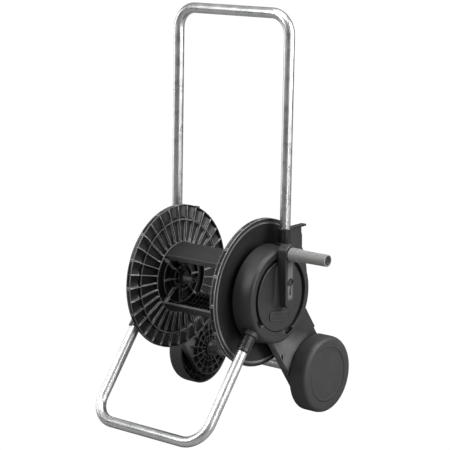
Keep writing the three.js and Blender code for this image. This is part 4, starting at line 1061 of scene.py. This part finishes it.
def stave_extras(top_angle, half, lattice):
    """Beads along both corners, screw posts at the ends and, inside the lower stave, a lattice."""
    middle = np.radians(top_angle)
    outward = np.array([0, np.cos(middle), np.sin(middle)])
    surfaces = [stave_bead(top_angle + edge) for edge in (1 - half, half - 1)]
    length, radius = 22.0, 6.5
    corners = [(0, 0), (0, radius), (length, radius), (length, 0)]
    post = turned(softened(corners, [0, 1, 0.5, 0], closed=False), steps=32)
    foot = np.insert(drum_axis, 0, 0) + (core_radius - 8) * outward + (stave_end - length, 0, 0)
    surfaces += [mirrored(moved(post, foot), sign) for sign in (1, -1)]
    if lattice:
        surfaces += [stave_rib(top_angle + edge) for edge in np.linspace(-42, 42, 9)]
        thin = lattice_rib / 2
        surfaces += [
            sector(lattice_inner, lattice_outer, x - thin, x + thin, top_angle - 48, top_angle + 48,
                   drum_axis, 0.3)
            for x in np.linspace(-110, 110, 19)
        ]
    return surfaces


for name, top_angle, half, lip in (("top", 90.0, 41.0, 18.0), ("bottom", -90.0, 51.0, 5.0)):
    make_piece(
        "stave_" + name,
        [stave(top_angle, half, lip), *stave_extras(top_angle, half, name == "bottom")],
        black, "black_plastic", "drum", "core_stave_" + name,
    )

# ---- Hose pipe ------------------------------------------------------------------------------------
# A pipe of black nylon on the drum's axis. It turns with the drum, carries the water in from the
# swivel, and ends inside the core in an elbow with a ringed nozzle for the hose's first end.

pipe_low, pipe_high = span("hose_pipe")
pipe_radius, pipe_bore = 8.0, 5.0
neck_radius, nozzle_radius, nozzle_bore = 5.4, 6.0, 4.2
elbow_x = pipe_high[0] - pipe_radius
nozzle_y = pipe_low[1]


def hose_pipe():
    """Straight along X, round a quarter circle as it narrows, and out along -Y."""
    bend = 9.0
    angle = np.linspace(0, np.pi / 2, 16)
    turn = np.stack([elbow_x - bend + bend * np.sin(angle), -bend + bend * np.cos(angle), 0 * angle], -1)
    ahead = np.stack([np.cos(angle), -np.sin(angle), 0 * angle], -1)
    centres = np.concatenate([[(pipe_low[0], 0, 0)], turn, [(elbow_x, nozzle_y + 0.3, 0)]])
    tangents = np.concatenate([[(1, 0, 0)], ahead, [(0, -1, 0)]])
    narrowing = np.concatenate([[0], angle / (np.pi / 2), [1]])
    radii = pipe_radius + (neck_radius - pipe_radius) * narrowing
    return swept(centres + np.insert(drum_axis, 0, 0), tangents, upwards, radii, nozzle_bore)


def nozzle():
    """A ring moulded round the pipe's open end, and the collar that stops it in the flange."""
    corners = [(0, nozzle_bore), (0, nozzle_radius), (2.5, nozzle_radius), (3.5, nozzle_radius - 0.8),
               (3.5, nozzle_bore)]
    at = np.array([elbow_x, nozzle_y, drum_axis[1]])
    ring = aimed(turned(softened(corners, 0.4, steps=4), steps=48), at, (0, 1, 0))
    stop = turned(softened([(-107.5, 8), (-107.5, 14), (-102, 14), (-102, 8)], 1), drum_axis, 48)
    return [ring, stop]


# The pipe takes the flanges' black: painted shade in its body and a painted highlight on its edges.
make_piece("feed_pipe", [hose_pipe(), *nozzle()], shaded_black_with_rib_highlights, "black_plastic", "drum", "hose_pipe")

# ---- Crank: disc, arm and badge -------------------------------------------------------------------
# The disc sits in the housing's recess and is screwed to the drum's journal. The arm stands on it
# with a wide fillet at its foot and overhangs the housing. The badge is a blank raised plate.

disc_front = span("crank_disc")[1][0]
arm_half_width = extent("crank_arm")[1] / 2
crank_low, crank_high = span("crank_arm")
crank_front = crank_high[0]
overhang = housing_front + 2


def crank_disc():
    """A disc with a rounded edge and a shallow step near it, hollow behind like a lid."""
    corners = [
        (disc_front - 4, 0), (disc_front - 4, disc_radius - 3), (recess_floor + 2, disc_radius - 3),
        (recess_floor + 2, disc_radius), (disc_front, disc_radius), (disc_front, 0),
    ]
    lid_shape = turned(softened(corners, [0, 1, 0.5, 0.5, 1.8, 0], closed=False), drum_axis, 160)
    bore = 3.3
    corners = [(journal_end + 0.3, bore), (journal_end + 0.3, journal_radius),
               (disc_front - 2, journal_radius), (disc_front - 2, bore)]
    return [lid_shape, turned(softened(corners, 0.6), drum_axis, 48)]


def stadium(half, low, high, steps=24):
    """A bar's outline with round ends, anticlockwise, between two heights."""
    return np.concatenate([
        arc((0, low + half), half, 180, 360, steps), arc((0, high - half), half, 0, 180, steps),
    ])


def arm_fillet():
    """The disc's face rising to the arm: a quarter circle between them, which fades out near the rim."""
    top = drum_axis[1] + disc_radius - 3
    outline = stadium(arm_half_width - 0.8, crank_low[2] + 0.8, top)
    outline = softened(outline, 0.01, steps=2)
    reach = 15 * np.clip((top - 2 - outline[:, 1]) / 34, 0.02, 1)
    angle = np.linspace(0, np.pi / 2, 12)
    away = np.concatenate([1 - np.cos(angle), [1.0, -0.3]])[:, None]
    rise = np.concatenate([0.98 - np.sin(angle), [-0.15, -0.15]])[:, None]
    normal = drawn_in(outline, [-1.0])[0] - outline
    points_yz = outline + (away * reach)[..., None] * normal
    x = disc_front + rise * reach
    return skin(np.concatenate([x[..., None], points_yz], -1), rows_joined=True)


def crank_arm():
    """A deep bar with rounded edges; a keyhole-shaped mark is sunk in its front."""
    outline = stadium(arm_half_width, crank_low[2], crank_high[2])
    key_z = drum_axis[1] + 37
    head = arc((0, key_z), 10, -70, 250, 32)
    keyhole = np.concatenate([head, [(-3.4, key_z - 30), (3.4, key_z - 30)]])[::-1]
    bar = plate(outline, overhang, crank_front, 2.4, pockets=[(keyhole, 1.4)])
    foot = plate(stadium(arm_half_width - 0.6, crank_low[2] + 0.6, drum_axis[1] + 73), disc_front + 0.3,
                 crank_front - 5, 0.5)
    stud = turned(softened([(crank_front - 2, 0), (crank_front - 2, 6.5), (crank_front - 0.3, 6.5),
                            (crank_front - 0.3, 0)], [0, 0.3, 0.8, 0], closed=False), (0, key_z), 40)
    return [bar, foot, stud]


def badge():
    """A slanted plate with round ends and a border raised round a blank field."""
    rear = arc((-30, drum_axis[1] - 42), 12, 90, 270, 16)
    front = arc((20, drum_axis[1] - 50), 12, -90, 90, 16)
    outline = np.concatenate([rear, front])
    low, high = span("disc_pad")
    field = drawn_in(outline, [2.2])[0]
    return plate(outline, low[0] - 0.5, high[0], 0.6, pockets=[(field[::-1], 0.7)])


make_piece("turning_disc", [*crank_disc(), arm_fillet()], black, "black_plastic", "drum", "crank_disc")
make_piece("turning_arm", crank_arm(), black, "black_plastic", "drum", "crank_arm")
make_piece("blank_badge", [badge()], black, "black_plastic", "drum", "disc_pad")

# ---- Grip -----------------------------------------------------------------------------------------
# A light grey moulded sleeve with fine rings that turns on a zinc-plated spindle, a thicker plain
# collar at its root, a bright washer against the arm, and a black plug in its hollow end.

grip_low, grip_high = span("crank_grip")
grip_axis = (grip_low + grip_high)[1:] / 2
grip_radius, grip_bore = 14.3, 5.3
collar_length = 24.0


def grip():
    """Radius along the length: a collar, then a barrel whose surface dips at every ring."""
    root_radius = grip_radius + 1.7
    barrel = np.arange(grip_low[0] + collar_length + 2, grip_high[0] - 3, 0.5)
    ring_depth, ring_pitch, narrowing = 0.5, 4.2, 0.4
    rings = ring_depth * np.clip(np.cos(2 * np.pi * (barrel - barrel[0]) / ring_pitch) * 3 - 2, 0, 1)
    taper = narrowing * (barrel - barrel[0]) / (barrel[-1] - barrel[0])
    body = np.stack([barrel, grip_radius - rings - taper], -1)
    root = softened(
        [(grip_low[0], grip_bore), (grip_low[0], root_radius), (grip_low[0] + collar_length, root_radius),
         (grip_low[0] + collar_length + 1.2, grip_radius)], [0, 1.4, 0.8, 0], closed=False,
    )
    grooves = (np.abs((root[:, 0] - grip_low[0]) % 6 - 3) < 0.4) * 0.3
    tip, pocket = grip_high[0], grip_high[0] - 14
    end = softened(
        [(tip - 2, grip_radius - 0.4), (tip, grip_radius - 0.4), (tip, grip_radius - 3.2),
         (pocket, grip_radius - 3.5), (pocket, grip_bore)], [0, 1.3, 0.8, 0.5, 0], closed=False,
    )
    root[:, 1] -= grooves
    return turned(np.concatenate([root, body, end]), grip_axis, 96)


make_piece("hand_grip", [grip()], grey, "grey_plastic", "grip", "crank_grip")
plug_low, plug_high = span("grip_end_cap")
plug_radius = (plug_high - plug_low)[2] / 2
plug_corners = [(plug_low[0], 0), (plug_low[0], plug_radius), (plug_high[0], plug_radius),
                (plug_high[0], plug_radius - 2), (plug_high[0] - 1.5, plug_radius - 3), (plug_high[0] - 1, 0)]
plug = softened(plug_corners, [0, 0.3, 0.5, 0.5, 0.5, 0], closed=False)
make_piece("grip_plug", [turned(plug, grip_axis, 48)], black, "black_plastic", "grip", "grip_end_cap")
washer_ring = round_bar("grip_washer", grip_bore)
make_piece("bright_washer", [washer_ring], steel, "steel_hardware", "drum", "grip_washer")

# ---- Inlet side -----------------------------------------------------------------------------------
# Opposite the crank a plain cover closes the recess. A glossy elbow swivels on the pipe's end behind
# a rubber ring, and carries the tail that a tap hose is pushed on.


def ring_rubber():
    """Matt black rubber with a bloom of paler dust."""
    material, finish = new_material("ring_rubber")
    bloom = finish.noise(finish.place(), 420, 3)
    colour = finish.mixed(bloom, shade(0.012), shade(0.035))
    finish.surface(colour, finish.between(bloom, 0.7, 0.92), bloom, 0.2, 0.0002)
    return material


cover_low, cover_high = span("hub_cover")
elbow_low, elbow_high = span("inlet_elbow")
inlet_radius = (elbow_high - elbow_low)[1] / 2
inlet_x = centre_of("inlet_connector")[0]
tail_low, tail_high = span("inlet_connector")


def inlet_cover():
    """A lid with two raised rings and eight shallow spokes; its hub stands open for the elbow."""
    front, back = cover_low[0], cover_high[0]
    corners = [
        (front, inlet_radius + 2), (front, 40), (front + 0.9, 41), (front + 0.9, disc_radius - 10),
        (front, disc_radius - 9), (front, disc_radius), (back, disc_radius), (back, disc_radius - 3),
        (front + 3, disc_radius - 3), (front + 3, inlet_radius + 2),
    ]
    section = turned(softened(corners, [1, 0.6, 0.6, 0.6, 0.6, 2, 0.4, 0.4, 0.8, 0.4]), drum_axis, 128)
    spokes = blades(40, disc_radius - 9, front + 2, front + 0.1, 3.0, around(8, 22.5), drum_axis)
    return [section, spokes]


def swivel_elbow():
    """A round head with grip flutes about the pipe, and a branch down to the tail."""
    angle = np.linspace(0, 2 * np.pi, 144, endpoint=False)
    flutes = 0.7 * (0.5 - 0.5 * np.cos(18 * angle)) ** 2
    seal_seat, seal_depth = pipe_radius + 2.7, 4
    corners = [(elbow_low[0], 0), (elbow_low[0], inlet_radius), (elbow_high[0], inlet_radius),
               (elbow_high[0], seal_seat), (elbow_high[0] - seal_depth, seal_seat),
               (elbow_high[0] - seal_depth, 0)]
    section = softened(corners, [0, 3, 1, 0.3, 0.3, 0], closed=False)
    rows = np.repeat(section[None], len(angle), 0)
    skirt = (rows[..., 1] > inlet_radius - 0.5) & (rows[..., 0] > elbow_low[0] + 3.2)
    rows[..., 1] -= skirt * flutes[:, None]
    head = turned(rows, drum_axis)
    branch = turned(softened([(6, pipe_bore), (6, 9), (28, 9), (28, pipe_bore)], 0.8), steps=48)
    branch = aimed(branch, np.array([inlet_x, *drum_axis]), (0, 0, -1))
    return [head, branch]


def tap_tail():
    """A hexagon, a neck with a groove, and the flared tip that the tap hose locks on."""
    length = (tail_high - tail_low)[2]
    corners = [(0, pipe_bore), (0, 11), (9, 11), (10, 7.5), (13, 7), (14.5, 8.8), (length, 8.2),
               (length, pipe_bore)]
    profile = softened(corners, [0.3, 1, 1, 0.5, 0.8, 0.8, 0.8, 0.5], steps=4)
    angle = np.linspace(0, 2 * np.pi, 96, endpoint=False)
    hexagon = np.cos(np.pi / 6) / np.cos((angle + np.pi / 6) % (np.pi / 3) - np.pi / 6)
    rows = np.repeat(profile[None], len(angle), 0)
    nut = (rows[..., 1] > 10) & (rows[..., 0] < 9.6)
    rows[..., 1] *= np.where(nut, hexagon[:, None], 1)
    return aimed(turned(rows), np.array([inlet_x, drum_axis[0], tail_high[2]]), (0, 0, -1))


rubber = ring_rubber()
make_piece("inlet_lid", inlet_cover(), black, "black_plastic", "frame", "hub_cover")
make_piece("swivel_head", swivel_elbow(), gloss, "gloss_plastic", "inlet", "inlet_elbow")
make_piece("tap_tail", [tap_tail()], grey, "grey_plastic", "inlet", "inlet_connector")
seal = round_bar("inlet_seal", pipe_radius + fit, 0.8)
make_piece("swivel_ring", [seal], rubber, "seal_rubber", "inlet", "inlet_seal")

# ---- Nozzle clip ----------------------------------------------------------------------------------
# A springy open ring of glossy black nylon on the outside of the left socket, where the spray
# nozzle's tail is parked. Its tab snaps on the socket.

clip_low, clip_high = span("nozzle_clip")


def nozzle_clip():
    """Seven eighths of a ring about an upright line, its lips flared, with a tab to the socket."""
    outer, bore = 15.0, 11.5
    middle = np.array([clip_high[0] - 17, (clip_low + clip_high)[1] / 2, 0])
    corners = [(clip_low[2], bore), (clip_low[2], outer), (clip_high[2], outer), (clip_high[2], bore)]
    profile = softened(corners, 1.2, steps=4)
    angle = np.radians(np.linspace(-138, 138, 60))[:, None]
    flare = 1.5 * np.clip(np.abs(angle) - 2.1, 0, 1)
    r = profile[:, 1] + flare
    x = middle[0] + r * np.cos(angle)
    y = middle[1] + r * np.sin(angle)
    z = np.broadcast_to(profile[:, 0], x.shape)
    ring = skin(np.stack([x, y, z], -1), capped=True)
    tab_outline = softened([(middle[1] - 6, clip_low[2]), (middle[1] + 6, clip_low[2]),
                            (middle[1] + 6, clip_high[2]), (middle[1] - 6, clip_high[2])], 1.5)
    tab = plate(tab_outline, middle[0] + bore + 1, clip_high[0], 1.0)
    return [ring, tab]


make_piece("spray_clip", nozzle_clip(), gloss, "gloss_plastic", "frame", "nozzle_clip")

# ---- Screws, pins and bushes ----------------------------------------------------------------------
# Zinc-plated pan-head screws with a cross recess: two hold each flange to the staves, one holds the
# crank's disc, and one pins each tube in its collar. The journals turn in light grey bushes.


def pan_head(radius, thick, shank, length):
    """A domed head about +X with a cross cut in it, on a plain shank that runs back along -X."""
    steps = 64
    angle = np.linspace(0, 2 * np.pi, steps, endpoint=False)
    over = np.linspace(np.pi / 2, 0, 12)
    r = radius * np.sin(over)
    dome = thick * np.cos(over) ** 0.7
    cross = np.minimum(np.abs(np.sin(angle)), np.abs(np.cos(angle)))[:, None] * r
    cut = 0.45 * thick * (cross < 0.16 * radius) * (r < 0.62 * radius)
    x = np.concatenate([np.tile([-length, -length, 0.0], (steps, 1)), dome - cut], 1)
    r = np.concatenate([[0, shank, shank], r])
    profile = np.stack([x, np.broadcast_to(r, x.shape)], -1)
    return turned(profile)


head, pin_head, shank = 2.2, 1.7, 2.0  # how thick the screws' heads are, and the shanks' radius
under_leg = np.array([0, np.cos(stand_lean), -np.sin(stand_lean)])
for side, sign in SIDES.items():
    for end in ("top", "bottom"):
        node = "drum_screw_" + end + "_" + side
        low, high = span(node)
        outer = high[0] if sign > 0 else low[0]
        at = np.array([outer - sign * head, *(low + high)[1:] / 2])
        screw = aimed(pan_head((high - low)[2] / 2, head, shank, (high - low)[0] - head), at, (sign, 0, 0))
        make_piece("stave_screw_" + end + "_" + side, [screw], steel, "steel_hardware", "drum", node)
    for tube, facing in (("handle", np.array([-sign, 0, 0])), ("foot", under_leg)):
        node = tube + "_pin_" + side
        pin = aimed(pan_head(3.4, pin_head, shank, 3.0), centre_of(node) - pin_head / 2 * facing, facing)
        make_piece(tube + "_screw_" + side, [pin], steel, "steel_hardware", "frame", node)
    bush = round_bar("drum_bush_" + side, journal_radius + fit, 0.6)
    make_piece("journal_bush_" + side, [bush], grey, "grey_plastic", "frame", "drum_bush_" + side)

# These two are almost hidden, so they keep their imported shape, in the same steel.
for node in ("crank_screw", "grip_spindle"):
    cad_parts[node].material_slots[0].material = steel
